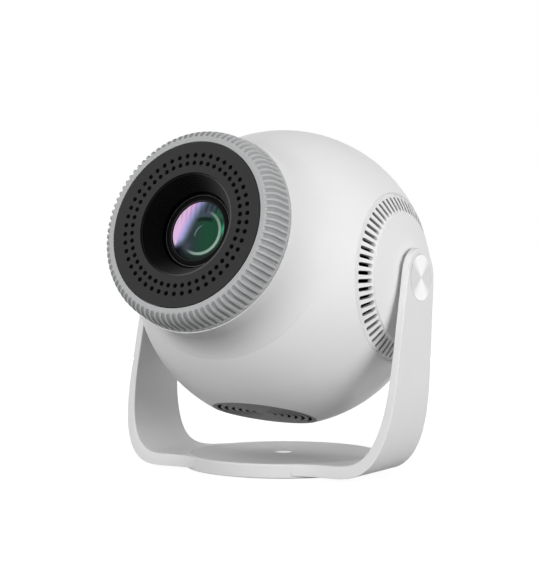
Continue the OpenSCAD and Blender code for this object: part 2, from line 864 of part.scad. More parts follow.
module led_module() {
    led_t = 1.4;
    color("gold") along_rear() union() {
        translate([0, 0, engine_back - led_t]) cylinder(r = light_r - 2, h = led_t);
        slab(8, 8, engine_back - led_t - 1.2, engine_back - led_t + eps);
    }
}

module heat_sink() {
    fin_t = 1.6;
    fin_count = 12;
    sink_w = engine_w - 6 * engine_wall;
    sink_h = engine_h - 4;
    color("lightgray") along_rear() union() {
        slab(sink_w, sink_h, engine_back, engine_back + sink_t);
        for (i = [0:fin_count - 1]) {
            translate([-sink_w / 2 + fin_t / 2 + i * (sink_w - fin_t) / (fin_count - 1), 0, 0])
                slab(fin_t, sink_h, engine_back + sink_t - eps, sink_back);
        }
    }
}

module main_board() {
    z = engine_h / 2 + board_gap;
    color("darkgreen") head_pose() translate([0, engine_mid, 0]) union() {
        slab(board_w, board_len, z, z + board_t);
        slab(chip_w, chip_w, z + board_t - eps, z + board_t + chip_h);
        translate([0, board_len / 2 - chip_h, 0])
            slab(2 * chip_w, chip_h, z + board_t - eps, z + board_t + chip_h);
    }
}

module power_board() {
    z = engine_h / 2 + board_gap;
    color("darkgreen") head_pose() mirror([0, 0, 1]) translate([0, engine_mid, 0]) union() {
        slab(board_w, board_len, z, z + board_t);
        for (x = [-can_gap, 0, can_gap]) {
            translate([x, can_h, z + board_t - eps]) cylinder(r = can_r, h = can_h, $fn = 32);
        }
        translate([0, -can_h, 0]) slab(coil_w, can_gap, z + board_t - eps, z + board_t + coil_h);
    }
}

module fan_frame() {
    bore = fan_w / 2 - 1.5;
    color("#202124") along_side(1) union() {
        difference() {
            slab(fan_w, fan_w, fan_in, fan_out);
            translate([0, 0, fan_in - 1]) cylinder(r = bore, h = fan_t + 2);
        }
        difference() {
            union() {
                translate([0, 0, fan_in]) cylinder(r = fan_hub_r, h = fan_plate_t);
                slab(2 * bore + 1, 3, fan_in, fan_in + fan_plate_t);
                slab(3, 2 * bore + 1, fan_in, fan_in + fan_plate_t);
                translate([0, 0, fan_in]) cylinder(r = fan_shaft_r + 1.6, h = fan_t / 2);
            }
            translate([0, 0, fan_in - 1]) cylinder(r = fan_shaft_r + run_gap, h = fan_t);
        }
    }
}

module fan_rotor() {
    tip = fan_w / 2 - 2.3;
    low = fan_in + fan_plate_t + 0.5;
    high = fan_out - 0.6;
    color("#2c2d31") along_side(1) union() {
        difference() {
            translate([0, 0, low]) cylinder(r = fan_hub_r, h = high - low);
            translate([0, 0, low - 1]) cylinder(r = fan_shaft_r + 2.4, h = fan_in + fan_t / 2 + 1.5 - low);
        }
        translate([0, 0, fan_in + 0.4]) cylinder(r = fan_shaft_r, h = high - fan_in - 1);
        intersection() {
            tube(tip, fan_hub_r - 0.5, low, high);
            for (i = [0:blade_count - 1]) {
                rotate([0, 0, i * 360 / blade_count]) translate([tip / 2 + 4, 0, (low + high) / 2])
                    rotate([40, 0, 0]) cube([tip, 1.2, far / 4], center = true);
            }
        }
    }
}

module speaker() {
    speaker_r = fan_w / 2 - 1;
    magnet_t = 7;
    color("#2a2b2e") along_side(-1) union() {
        translate([0, 0, fan_in]) cylinder(r = fan_hub_r, h = magnet_t);
        slab(fan_w, fan_w, fan_in, fan_in + 2);
        translate([0, 0, fan_in + magnet_t - 1])
            cylinder(r1 = fan_hub_r, r2 = speaker_r - 2, h = fan_t - magnet_t);
        tube(speaker_r, speaker_r - 4, fan_in, fan_out);
        tube(speaker_r, 6, fan_out - 2, fan_out - 0.8);
    }
}

// REAR SOCKETS

// Cuts through the socket panel that the sockets and the button show in
module socket_cuts() {
    translate(hdmi_at) square(hdmi_size + [1, 1] * 2 * seat_gap, center = true);
    translate(usb_at) square(usb_size + [1, 1] * 2 * seat_gap, center = true);
    translate(audio_at) circle(audio_r + seat_gap);
    translate(dc_at) circle(dc_r + seat_gap);
    translate(ir_at) circle(ir_r + eps);
    translate(button_at) circle(button_r + move_gap);
}

// Turns local +Z to the rear, with local +Y up
module rear_view() {
    head_pose() rotate([-90, 0, 0]) mirror([0, 1, 0]) children();
}

module rear_panel() {
    bore = io_r - 2;
    lip_r = io_r + io_lip;
    lip_back = io_flange - 1.6;
    color("#26272a") rear_view() union() {
        difference() {
            rotate_extrude() polygon([[0, io_back], [bore, io_back], [bore, lip_back], [lip_r, lip_back],
                [lip_r, io_flange], [io_r, io_flange], [io_r, io_face], [0, io_face]]);
            translate([0, 0, io_back - 1]) linear_extrude(io_t + 2) socket_cuts();
        }
        for (x = [-io_post[0], io_post[0]], y = [-io_post[1], io_post[1]]) {
            translate([x, y, io_board_face]) cylinder(r = 1.8, h = io_back - io_board_face + eps, $fn = 32);
        }
    }
}

module io_board() {
    color("darkgreen") rear_view() union() {
        slab(2 * io_post[0] + 6, 2 * io_post[1] + 7, io_board_face - board_t, io_board_face);
        translate(button_at) slab(6, 6, io_board_face - eps, io_board_face + switch_h);
    }
}

// Rectangular socket shell on the board, open to the rear, with a tongue inside
module box_socket(at, size) {
    color("silver") rear_view() translate([at[0], at[1], 0]) union() {
        difference() {
            slab(size[0], size[1], io_board_face, io_face - seat_gap);
            slab(size[0] - 2 * socket_wall, size[1] - 2 * socket_wall, socket_floor, far);
        }
        slab(size[0] - 5, 0.8, socket_floor - eps, io_face - 2);
    }
}

module hdmi_socket() { box_socket(hdmi_at, hdmi_size); }
module usb_socket() { box_socket(usb_at, usb_size); }

// Round socket shell on the board, open to the rear
module round_socket(at, r, bore) {
    translate([at[0], at[1], 0]) difference() {
        translate([0, 0, io_board_face]) cylinder(r = r, h = io_face - seat_gap - io_board_face);
        translate([0, 0, socket_floor]) cylinder(r = bore, h = far);
    }
}

module audio_socket() {
    color("black") rear_view() round_socket(audio_at, audio_r, 1.8);
}

module dc_inlet() {
    color("black") rear_view() union() {
        round_socket(dc_at, dc_r, 2.8);
        translate([dc_at[0], dc_at[1], socket_floor - eps]) cylinder(r = 1, h = 9, $fn = 32);
    }
}

module ir_window() {
    color("#400810") rear_view() translate([ir_at[0], ir_at[1], io_back]) cylinder(r = ir_r, h = io_t + 0.2);
}

module power_button() {
    lip = 1.4;
    stop = io_back - move_gap;
    face = io_face + button_travel + 0.3;
    color("gainsboro") rear_view() translate([button_at[0], button_at[1], 0]) union() {
        translate([0, 0, stop - lip]) cylinder(r = button_r + lip, h = lip);
        translate([0, 0, button_back]) cylinder(r = 2, h = stop - button_back, $fn = 32);
        translate([0, 0, stop - eps]) cylinder(r = button_r, h = face - stop + eps);
    }
}

stand_bracket();
base_cover();
base_weight();
tripod_insert();
base_pad();
pivot_cap_left();
pivot_cap_right();
pivot_bolt_left();
pivot_bolt_right();
pivot_nut_left();
pivot_nut_right();
friction_washer_left();
friction_washer_right();
front_shell();
rear_cover();
side_grille_left();
side_grille_right();
grille_mesh_left();
grille_mesh_right();
pivot_hub_left();
pivot_hub_right();
bottom_vent();
vent_filter();
cover_screws();
lens_mount();
guide_rods();
front_panel();
lens_hood();
focus_ring();
lens_barrel();
lens_carrier();
lens_retaining_ring();
front_lens();
middle_lens();
lens_spacer();
rear_lens();
rear_lens_ring();
engine_housing();
front_fresnel();
lcd_panel();
rear_fresnel();
condenser_lens();
led_module();
heat_sink();
main_board();
power_board();
fan_frame();
fan_rotor();
speaker();
rear_panel();
io_board();
hdmi_socket();
usb_socket();
audio_socket();
dc_inlet();
ir_window();
power_button();
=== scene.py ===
"""Surfaces, finishes, light and camera for the ball-shaped video projector."""
import math

import bmesh
import bpy
import numpy as np
from mathutils import Matrix


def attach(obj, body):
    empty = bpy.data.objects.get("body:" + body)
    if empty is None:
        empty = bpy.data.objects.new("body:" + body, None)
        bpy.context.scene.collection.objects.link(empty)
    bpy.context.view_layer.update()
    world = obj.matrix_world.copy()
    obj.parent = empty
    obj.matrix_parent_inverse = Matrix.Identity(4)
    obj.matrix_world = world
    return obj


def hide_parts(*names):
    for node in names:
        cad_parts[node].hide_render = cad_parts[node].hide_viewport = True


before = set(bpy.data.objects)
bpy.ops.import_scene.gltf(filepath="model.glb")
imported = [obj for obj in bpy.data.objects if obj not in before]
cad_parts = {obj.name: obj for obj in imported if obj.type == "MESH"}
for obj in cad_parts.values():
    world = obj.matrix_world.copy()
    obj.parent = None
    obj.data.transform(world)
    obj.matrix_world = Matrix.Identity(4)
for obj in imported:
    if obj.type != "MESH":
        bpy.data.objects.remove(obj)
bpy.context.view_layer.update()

# Sizes in millimetres, as in the part's source
MM = 0.001
PIVOT_H = 102.5
HEAD_TILT = math.radians(15.5)
BALL_R = 80.0
NECK_R = 51.3
PANEL_H = 98.6
PANEL_BACK = 95.5
RING_BACK = 84.0
GRILLE_R = 44.1
DOME_R = 34.0
DOME_X = 77.3
DOME_CURVE = 120.76
BAND_R = 79.3
BASE_R = 52.8
BASE_FLOOR = 0.6
BASE_TOP = 7.8
STRAP_FLOOR = 1.7
ARM_IN = 78.1
ARM_OUT = 81.9
COVER_R = 50.25
COVER_T = 1.6
INSERT_R = 4.5
VENT_FACE = 74.8
SEAT_GAP = 0.15
SIDES = {"left": -1, "right": 1}


# ---- places ----

def head_place(p):
    """Head frame (lens level, pivot at the origin) to the shared frame: turned up by the tilt and lifted to the
    pivot's height."""
    c, s = math.cos(HEAD_TILT), math.sin(HEAD_TILT)
    x, y, z = np.moveaxis(p, -1, 0)
    return np.stack([x, y * c + z * s, z * c - y * s + PIVOT_H], -1) * MM


def lens_place(p):
    """Lens frame (two axes across, h forward along the lens axis) to the shared frame."""
    x, y, h = np.moveaxis(p, -1, 0)
    return head_place(np.stack([x, -h, y], -1))


def side_place(p, side):
    """Side frame of the head (h outwards along the pivot axis) to the shared frame."""
    x, y, h = np.moveaxis(p, -1, 0)
    return head_place(np.stack([side * h, y, -side * x], -1))


def arm_place(p, side):
    """Side frame of the stand at the pivot, which does not tilt, to the shared frame."""
    x, y, h = np.moveaxis(p, -1, 0)
    return np.stack([side * h, y, PIVOT_H - side * x], -1) * MM


def stand_place(p):
    """Stand frame in millimetres to the shared frame in metres."""
    return p * MM


def lens_coords(points):
    """Places on the lens frame, in mm: u across, v up and h forward along the lens axis."""
    c, s = math.cos(HEAD_TILT), math.sin(HEAD_TILT)
    x, y, z = points.T / MM
    z = z - PIVOT_H
    return x, y * s + z * c, z * s - y * c


# ---- shapes ----

def smooth_step(t):
    """0 below 0, 1 above 1, and 3t^2 - 2t^3 between."""
    t = np.clip(t, 0, 1)
    return t * t * (3 - 2 * t)


def cells(rows, cols, close_rows=False, close_cols=False):
    """Four-cornered cells of a grid as point numbers; a closed direction joins its last line to its first."""
    i = np.arange(rows if close_rows else rows - 1)[:, None]
    j = np.arange(cols if close_cols else cols - 1)[None, :]
    below, beside = (i + 1) % rows, (j + 1) % cols
    corners = (i * cols + j, i * cols + beside, below * cols + beside, below * cols + j)
    return np.stack(np.broadcast_arrays(*corners), -1).reshape(-1, 4)


def rounded(corners, radii, steps=5, closed=True, hold=0.25):
    """Outline whose corner k becomes an arc of radius k that touches both sides, with a point just before and
    just after it. A corner with no radius, or where the line runs straight on, stays a point."""
    corners = np.asarray(corners, float)
    count = len(corners)
    line = []
    for k, (q, r) in enumerate(zip(corners, radii)):
        if r == 0 or (not closed and k in (0, count - 1)):
            line.append(q[None])
            continue
        a, b = corners[k - 1] - q, corners[(k + 1) % count] - q
        long_a, long_b = np.linalg.norm(a), np.linalg.norm(b)
        a, b = a / long_a, b / long_b
        middle = np.linalg.norm(a + b)
        if middle < 1e-6:
            line.append(q[None])
            continue
        half = math.acos(np.clip(a @ b, -1, 1)) / 2
        room = 0.45 * min(long_a, long_b)
        cut = min(r / math.tan(half), room)
        r = cut * math.tan(half)
        centre = q + (a + b) / middle * r / math.sin(half)
        v, w = q + a * cut - centre, q + b * cut - centre
        turn = math.pi - 2 * half
        t = np.linspace(0, 1, steps + 1)[:, None]
        arc = centre + (np.sin((1 - t) * turn) * v + np.sin(t * turn) * w) / math.sin(turn)
        keep = min(cut + hold, 1.05 * room)
        line += [(q + a * keep)[None], arc, (q + b * keep)[None]]
    return np.concatenate(line)


def spin(profile, steps):
    """Surface of revolution: (r cos a, r sin a, h) for each profile point (r, h) and each angle a of a turn."""
    a = np.linspace(0, 2 * math.pi, steps, endpoint=False)
    r, h = np.asarray(profile).T[:, :, None]
    return np.stack([r * np.cos(a), r * np.sin(a), h + 0 * a], -1)


def turned(profile, steps, place, closed=True):
    """Sheet of a turned piece: its profile spun round the axis and put in place."""
    points = spin(profile, steps)
    return place(points).reshape(-1, 3), cells(*points.shape[:2], closed, True)


WELD = 2e-6
BEVEL_FROM = 0.87


def make_piece(name, body, material, sheets, stands_for, sharp=40, bevel=None):
    """One mesh from sheets of points and cells: welded, turned outwards, and smooth up to the sharp angle.
    bevel is (width in mm, test of an edge's middle): edges over 50 degrees that pass the test are rounded."""
    starts = np.cumsum([0] + [len(p) for p, _ in sheets])
    points = np.concatenate([p for p, _ in sheets])
    faces = np.concatenate([f + s for (_, f), s in zip(sheets, starts)])
    mesh = bpy.data.meshes.new(name)
    mesh.from_pydata(points, [], faces)
    shape = bmesh.new()
    shape.from_mesh(mesh)
    bmesh.ops.remove_doubles(shape, verts=shape.verts, dist=WELD)
    bmesh.ops.recalc_face_normals(shape, faces=shape.faces)
    if bevel:
        width, test = bevel
        edges = [e for e in shape.edges if len(e.link_faces) == 2 and e.calc_face_angle() > BEVEL_FROM
                 and test((e.verts[0].co + e.verts[1].co) / 2 / MM)]
        bmesh.ops.bevel(shape, geom=edges, offset=width * MM, segments=4, profile=0.5, affect="EDGES",
                        clamp_overlap=True)
    shape.to_mesh(mesh)
    shape.free()
    mesh.polygons.foreach_set("use_smooth", np.ones(len(mesh.polygons), bool))
    mesh.set_sharp_from_angle(angle=math.radians(sharp))
    piece = bpy.data.objects.new(name, mesh)
    bpy.context.scene.collection.objects.link(piece)
    mesh.materials.append(material)
    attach(piece, body)
    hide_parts(*stands_for)
    return piece


# ---- finishes ----

def slow_noise(tree, scale, detail=2.0):
    """Noise on the object's own coordinates."""
    place = tree.nodes.new("ShaderNodeTexCoord")
    noise = tree.nodes.new("ShaderNodeTexNoise")
    noise.inputs["Scale"].default_value = scale
    noise.inputs["Detail"].default_value = detail
    tree.links.new(place.outputs["Object"], noise.inputs["Vector"])
    return noise.outputs["Fac"]


def finish(name, colour, rough, grain=0.3, depth=0.004, drift=0.03, rough_drift=0.05, **sockets):
    """Surface whose colour and roughness drift slowly, with a fine grain of a given width and depth in mm."""
    material = bpy.data.materials.new(name)
    material.use_nodes = True
    tree = material.node_tree
    shader = tree.nodes["Principled BSDF"]
    drift_noise = slow_noise(tree, 35, 3)
    mix = tree.nodes.new("ShaderNodeMix")
    mix.data_type = "RGBA"
    colour = np.asarray(colour, float)
    mix.inputs[6].default_value = (*(colour * (1 - drift)), 1)
    mix.inputs[7].default_value = (*np.minimum(colour * (1 + drift), 1), 1)
    tree.links.new(drift_noise, mix.inputs[0])
    tree.links.new(mix.outputs[2], shader.inputs["Base Color"])
    spread = tree.nodes.new("ShaderNodeMapRange")
    spread.inputs["To Min"].default_value = rough - rough_drift
    spread.inputs["To Max"].default_value = rough + rough_drift
    tree.links.new(slow_noise(tree, 120, 2), spread.inputs["Value"])
    tree.links.new(spread.outputs["Result"], shader.inputs["Roughness"])
    bump = tree.nodes.new("ShaderNodeBump")
    bump.inputs["Distance"].default_value = depth * MM
    tree.links.new(slow_noise(tree, 1 / (grain * MM), 1), bump.inputs["Height"])
    tree.links.new(bump.outputs["Normal"], shader.inputs["Normal"])
    for socket, value in sockets.items():
        shader.inputs[socket.replace("_", " ")].default_value = value
    return material


BODY = finish("body_moulding", (0.80, 0.80, 0.80), 0.42, Specular_IOR_Level=0.35)
STAND = finish("stand_moulding", (0.82, 0.82, 0.825), 0.55, Specular_IOR_Level=0.2)
# The cover is the stand's moulding made darker: painted shadow of the ball.
COVER_PAINTED_SHADE = finish("cover_satin_painted_shade", (0.68, 0.68, 0.685), 0.5, Specular_IOR_Level=0.2)
PANEL = finish("panel_charcoal", (0.025, 0.025, 0.0255), 0.5, depth=0.006, Specular_IOR_Level=0.22)
INNER = finish("inner_black", (0.005, 0.005, 0.0055), 0.7, Specular_IOR_Level=0.1)
STEEL = finish("turned_steel", (0.55, 0.55, 0.56), 0.3, Metallic=1.0)
INSERT = finish("insert_nickel", (0.50, 0.50, 0.50), 0.22, depth=0.0, rough_drift=0.02, Metallic=1.0)
ALUMINIUM = finish("sink_aluminium", (0.70, 0.71, 0.72), 0.38, Metallic=1.0)
RUBBER = finish("pad_rubber", (0.035, 0.035, 0.036), 0.75, grain=0.5, depth=0.03)
FRICTION = finish("friction_black", (0.02, 0.02, 0.02), 0.6)
BOARD = finish("board_green", (0.012, 0.10, 0.045), 0.4)
LED_BASE = finish("led_base", (0.75, 0.55, 0.18), 0.4, Metallic=1.0)
IR_RED = finish("ir_red", (0.05, 0.004, 0.008), 0.15, Coat_Weight=0.5)
SOCKET = finish("socket_shell", (0.62, 0.62, 0.63), 0.28, Metallic=1.0)
REAR = finish("rear_panel_black", (0.022, 0.022, 0.024), 0.4, depth=0.008)
GREEN_GLASS = finish("green_coated_glass", (0.006, 0.030, 0.020), 0.08, depth=0.0, rough_drift=0.02,
                     Coat_Weight=0.6)
CLEAR_GLASS = finish("clear_glass", (0.95, 0.98, 0.97), 0.05, depth=0.0, drift=0.0, rough_drift=0.02,
                     Transmission_Weight=1.0)


def painted(material, attribute):
    """Takes the base colour from a colour attribute that is computed on the mesh."""
    tree = material.node_tree
    colour = tree.nodes.new("ShaderNodeAttribute")
    colour.attribute_name = attribute
    tree.links.new(colour.outputs["Color"], tree.nodes["Principled BSDF"].inputs["Base Color"])
    return material


def paint(piece, attribute, colour_at):
    """Gives every point of a mesh the colour that colour_at works out from the points' places in metres."""
    mesh = piece.data
    points = np.empty(3 * len(mesh.vertices))
    mesh.vertices.foreach_get("co", points)
    colours = np.ones((len(mesh.vertices), 4))
    colours[:, :3] = colour_at(points.reshape(-1, 3))
    mesh.attributes.new(attribute, "FLOAT_COLOR", "POINT").data.foreach_set("color", colours.ravel())


# The front glass takes its painted reflections from a colour attribute.
FRONT_GLASS = painted(finish("front_glass", (0.02, 0.05, 0.04), 0.10, depth=0.0, drift=0.0, rough_drift=0.0,
                             Specular_IOR_Level=0.08), "painted_reflection")
# The ring's colour attribute carries painted shade in its grooves.
RING = painted(finish("ring_satin_grey", (0.43, 0.435, 0.44), 0.45, Specular_IOR_Level=0.3), "ring_painted_groove_shade")
# The hood, the tube and the lock ring take painted light and painted highlights from a colour attribute.
HOOD = painted(finish("hood_black", (0.005, 0.005, 0.0055), 0.45, Specular_IOR_Level=0.06), "black_with_painted_light")
RETAINER = painted(finish("retainer_black", (0.006, 0.006, 0.007), 0.35, Specular_IOR_Level=0.05), "black_with_painted_light")

# Depths in mm behind the vent's face where the painted shade in its slots starts and where it is black
SLOT_SHADE_START = 0.1
SLOT_SHADE_FULL = 0.8


def vent_plate_painted_shade():
    """Grey plate whose slots take painted shade with depth behind its face, from full grey to black."""
    # The plate's grey is the pale moulding darkened: painted shade.
    material = finish("vent_painted_shade", (0.27, 0.27, 0.272), 0.5, Specular_IOR_Level=0.15)
    tree = material.node_tree
    place = tree.nodes.new("ShaderNodeTexCoord")
    along = tree.nodes.new("ShaderNodeVectorMath")
    along.operation = "DOT_PRODUCT"
    along.inputs[1].default_value = (0, -math.sin(HEAD_TILT), -math.cos(HEAD_TILT))
    tree.links.new(place.outputs["Object"], along.inputs[0])
    level = tree.nodes.new("ShaderNodeMapRange")
    face = VENT_FACE - PIVOT_H * math.cos(HEAD_TILT)
    level.inputs["From Min"].default_value = (face - SLOT_SHADE_FULL) * MM
    level.inputs["From Max"].default_value = (face - SLOT_SHADE_START) * MM
    tree.links.new(along.outputs["Value"], level.inputs["Value"])
    shade = tree.nodes.new("ShaderNodeMix")
    shade.data_type = "RGBA"
    # Black of the painted shade deep in the slots.
    shade.inputs[6].default_value = (0.004, 0.004, 0.004, 1)
    shader = tree.nodes["Principled BSDF"]
    tree.links.new(shader.inputs["Base Color"].links[0].from_socket, shade.inputs[7])
    tree.links.new(level.outputs["Result"], shade.inputs[0])
    tree.links.new(shade.outputs[2], shader.inputs["Base Color"])
    return material


VENT_PAINTED_SHADE = vent_plate_painted_shade()
# The grille's colour attribute carries painted shade in its slots.
GRILLE = painted(finish("grille_moulding", (0.80, 0.80, 0.80), 0.42, Specular_IOR_Level=0.35), "slot_painted_shade")


def spun_metal():
    """Bright metal turned on a lathe: the gloss is drawn out round the pivot axis."""
    metal = finish("spun_metal", (0.86, 0.86, 0.87), 0.30, depth=0.0, rough_drift=0.02, Metallic=1.0,
                   Anisotropic=0.85)
    # The colour attribute carries a painted highlight of the turned face.
    material = painted(metal, "painted_sheen")
    tree = material.node_tree
    shader = tree.nodes["Principled BSDF"]
    tangent = tree.nodes.new("ShaderNodeTangent")
    tangent.direction_type = "RADIAL"
    tangent.axis = "X"
    tree.links.new(tangent.outputs["Tangent"], shader.inputs["Tangent"])
    return material


SPUN = spun_metal()


# ---- stand ----

CORNER_W = 30.2
CORNER_H = 58.5
CORNER_IN_W = 26.3
CORNER_IN_H = 58.2
WEB_TOP = BASE_TOP + CORNER_IN_H / 2
ARM_END_R = 15.4
ARM_SHIFT = 0.6
FOOT_FRONT = 41.3
FOOT_BACK = 6.4
FRONT_SWEEP = 30.0
REAR_SWEEP = 26.0
EDGE_ROUND = 1.3
CAP_R = 12.0
CAP_T = 1.3
CAP_FACE = 82.2
CAP_SEAT = 1.4


def touch_angle(foot, side):
    """Angle at the round end's centre where the line from the foot point touches the circle."""
    d = np.array([foot - ARM_SHIFT, -PIVOT_H])
    return math.atan2(d[1], d[0]) + side * math.acos(ARM_END_R / np.linalg.norm(d))


FRONT_TOUCH = touch_angle(-FOOT_FRONT, -1) % (2 * math.pi)
REAR_TOUCH = touch_angle(FOOT_BACK, 1)


def edge_line(z, foot, angle):
    """Straight edge of an arm: from the foot on the floor to the point where it touches the round end."""
    y, top = ARM_SHIFT + ARM_END_R * math.cos(angle), PIVOT_H + ARM_END_R * math.sin(angle)
    return foot + (y - foot) * z / top


def strap_edge(x, z, foot, angle, sweep):
    """Edge of the strap: the base's circle, then a concave arc that touches the circle and the arm's edge, then
    that edge."""
    edge = np.abs(edge_line(z, foot, angle))
    mid_y = edge + sweep
    mid_x = np.sqrt((BASE_R + sweep) ** 2 - mid_y ** 2)
    rim_x = mid_x * BASE_R / (BASE_R + sweep)
    arc = mid_y - np.sqrt(np.maximum(sweep ** 2 - (mid_x - np.clip(x, rim_x, mid_x)) ** 2, 0))
    circle = np.sqrt(np.maximum(BASE_R ** 2 - x ** 2, 0))
    near = np.where(x < rim_x, circle, np.where(x < mid_x, arc, edge))
    return np.sign(foot) * np.where(z < WEB_TOP, near, edge)


def corner(x, floor, width, height):
    """Corner of the strap, from its level floor up to the arm: |(x - a) / w|^3 + |(z - b) / h|^3 = 1."""
    t = math.pi / 2 * (1 - smooth_step(np.linspace(0, 1, 400)))
    return x + width * (np.cos(t) ** (2 / 3) - 1), floor + height * (1 - np.sin(t) ** (2 / 3))


IN_X, IN_Z = corner(ARM_IN, BASE_TOP, CORNER_IN_W, CORNER_IN_H)
IN_W = IN_X[0] + np.append(0, np.cumsum(np.hypot(np.diff(IN_X), np.diff(IN_Z))))
OUT_X, OUT_Z = corner(ARM_OUT, STRAP_FLOOR, CORNER_W, CORNER_H)


def inner_line(w):
    """Inside of the bent strap by length w: level, the corner curve, then upright."""
    x = np.where(w < IN_W[0], w, np.interp(w, IN_W, IN_X))
    return x, np.interp(w, IN_W, IN_Z) + np.maximum(w - IN_W[-1], 0)


def outer_line(w):
    """Outside of the strap: the point on the same ray from the corner's centre as the inside's point at w."""
    x, z = inner_line(w)
    rim_x, rim_z = np.append(OUT_X, ARM_OUT), np.append(OUT_Z, IN_Z[-1])
    around = np.arctan2(rim_x - IN_X[0], IN_Z[-1] - rim_z)
    turn = np.arctan2(x - IN_X[0], IN_Z[-1] - z)
    level, upright = w < IN_W[0], w > IN_W[-1]
    out_x = np.where(level, x, np.where(upright, ARM_OUT, np.interp(turn, around, rim_x)))
    return out_x, np.where(level, STRAP_FLOOR, np.where(upright, z, np.interp(turn, around, rim_z)))


def leg_face(line, rows=90, cols=22, tip_rows=8, foot_r=51.6):
    """One face of a leg as a patch between four lines: its foot on the base's circle, its two edges, and the
    arm's end. A point is the blend of both edges plus the foot's bow, which fades along the leg. The end is a
    half disc of cells."""
    u = np.linspace(0, 1, rows)
    v = np.concatenate([[0, 0.052], np.linspace(0.085, 0.915, cols), [0.948, 1]])
    top = IN_W[-1] + PIVOT_H - IN_Z[-1]
    joined, meet, bend_from = 0.42, 76.0, 0.8
    starts, ends, feet = (29.5, 48.5), (FRONT_TOUCH, REAR_TOUCH), (-FOOT_FRONT, FOOT_BACK)
    edges = []
    for start, angle, foot, sweep in zip(starts, ends, feet, (FRONT_SWEEP, REAR_SWEEP)):
        last = top + ARM_END_R * math.sin(angle)
        w = np.where(u < joined, start + (meet - start) * u / joined,
                     meet + (last - meet) * (u - joined) / (1 - joined))
        edges.append((w, strap_edge(*line(w), foot, angle, sweep)))
    (w_f, y_f), (w_r, y_r) = edges
    chord = (1 - v)[None, :], v[None, :]
    w = chord[0] * w_f[:, None] + chord[1] * w_r[:, None]
    y = chord[0] * y_f[:, None] + chord[1] * y_r[:, None]
    turn = np.arctan2(y_f[0], w_f[0]) * chord[0] + np.arctan2(y_r[0], w_r[0]) * chord[1]
    reach = foot_r + (np.hypot(w_f[0], y_f[0]) - foot_r) * (2 * v - 1) ** 8
    fade = np.clip(1 - u / joined, 0, 1)[:, None] ** 2
    w = w + fade * (reach * np.cos(turn) - w[0])
    y = y + fade * (reach * np.sin(turn) - y[0])
    across = 2 * v - 1
    spoke = np.where(across < 0, FRONT_TOUCH, REAR_TOUCH)
    bend = smooth_step((u - bend_from) / (1 - bend_from))[:, None]
    w = w + bend * (top + ARM_END_R * np.abs(across) * np.sin(spoke) - w[-1])
    y = y + bend * (ARM_SHIFT + ARM_END_R * np.abs(across) * np.cos(spoke) - y[-1])
    b = np.linspace(0, 1, tip_rows + 1)[1:, None]
    side, up = across * np.sqrt(1 - b ** 2 / 2), b * np.sqrt(1 - across ** 2 / 2)
    span = REAR_TOUCH + np.arctan2(up, side) * (FRONT_TOUCH - REAR_TOUCH) / math.pi
    reach = ARM_END_R * np.hypot(side, up)
    w = np.concatenate([w, top + reach * np.sin(span)])
    y = np.concatenate([y, ARM_SHIFT + reach * np.cos(span)])
    x, z = line(w)
    return np.stack([x, y, z], -1)


def open_round(points, faces, centre_yz, radius):
    """Drops the cells that reach inside a circle about the X axis and slides the points round it onto the
    circle. Gives the points, the cells that stay, and the angles of the points on the circle in turn."""
    off = points[:, 1:] - centre_yz
    far = np.linalg.norm(off, axis=1)
    inside = far < radius
    cut = inside[faces].any(1)
    rim = np.intersect1d(faces[cut].ravel(), faces[~cut].ravel())
    points = points.copy()
    points[rim, 1:] = centre_yz + off[rim] * (radius / far[rim])[:, None]
    return points, faces[~cut], np.sort(np.arctan2(off[rim, 1], off[rim, 0]))


def leg_sheets(side):
    """A leg: inner and outer face, the wall round their edge, and the seat for the pivot cap."""
    inner = leg_face(inner_line)
    outer = leg_face(outer_line)
    inner[..., 2] -= 0.03 * (inner[..., 2] < BASE_TOP + 0.01)
    rows, cols = inner.shape[:2]
    number = np.arange(rows * cols).reshape(rows, cols)
    loop = np.concatenate([number[0, :-1], number[:-1, -1], number[-1, :0:-1], number[:0:-1, 0]])
    after = np.roll(loop, -1)
    both = np.concatenate([inner.reshape(-1, 3), outer.reshape(-1, 3)])
    wall = np.stack([loop, after, after + rows * cols, loop + rows * cols], -1)
    face = cells(rows, cols)
    pivot = np.array([0, PIVOT_H])
    seat_r = CAP_R + SEAT_GAP
    both, outer_face, angles = open_round(both, face + rows * cols, pivot, seat_r)
    floor_x = ARM_OUT - CAP_SEAT
    seat = np.array([[seat_r, ARM_OUT], [seat_r, floor_x], [CAP_R - 3, floor_x], [0, floor_x]])
    ring = np.stack([seat[:, 1, None] + 0 * angles, pivot[0] + seat[:, 0, None] * np.cos(angles),
                     pivot[1] + seat[:, 0, None] * np.sin(angles)], -1)
    mirror = np.array([side, 1, 1])
    return [(stand_place(both * mirror), np.concatenate([face, outer_face, wall])),
            (stand_place(ring.reshape(-1, 3) * mirror), cells(len(seat), len(angles), False, True))]


def base_disc():
    """Profile of the round base with the seats of the cover, the weight, the insert and the pad."""
    seat, weight, insert = COVER_R + SEAT_GAP, COVER_R - 6 + SEAT_GAP, INSERT_R + 0.01
    pad_out, pad_in, pad_top = BASE_R - 4 + SEAT_GAP, 30 - SEAT_GAP, BASE_FLOOR + 0.5
    cover_seat, well = BASE_TOP - COVER_T, BASE_TOP - 4
    corners = [(BASE_R, BASE_FLOOR), (BASE_R, BASE_TOP), (seat, BASE_TOP), (seat, cover_seat),
               (weight, cover_seat), (weight, well), (insert, well), (insert, BASE_FLOOR),
               (pad_in, BASE_FLOOR), (pad_in, pad_top), (pad_out, pad_top), (pad_out, BASE_FLOOR)]
    return rounded(corners, [0.5, 0.9, 0.2, 0, 0, 0, 0, 0.3, 0.2, 0, 0, 0.2])


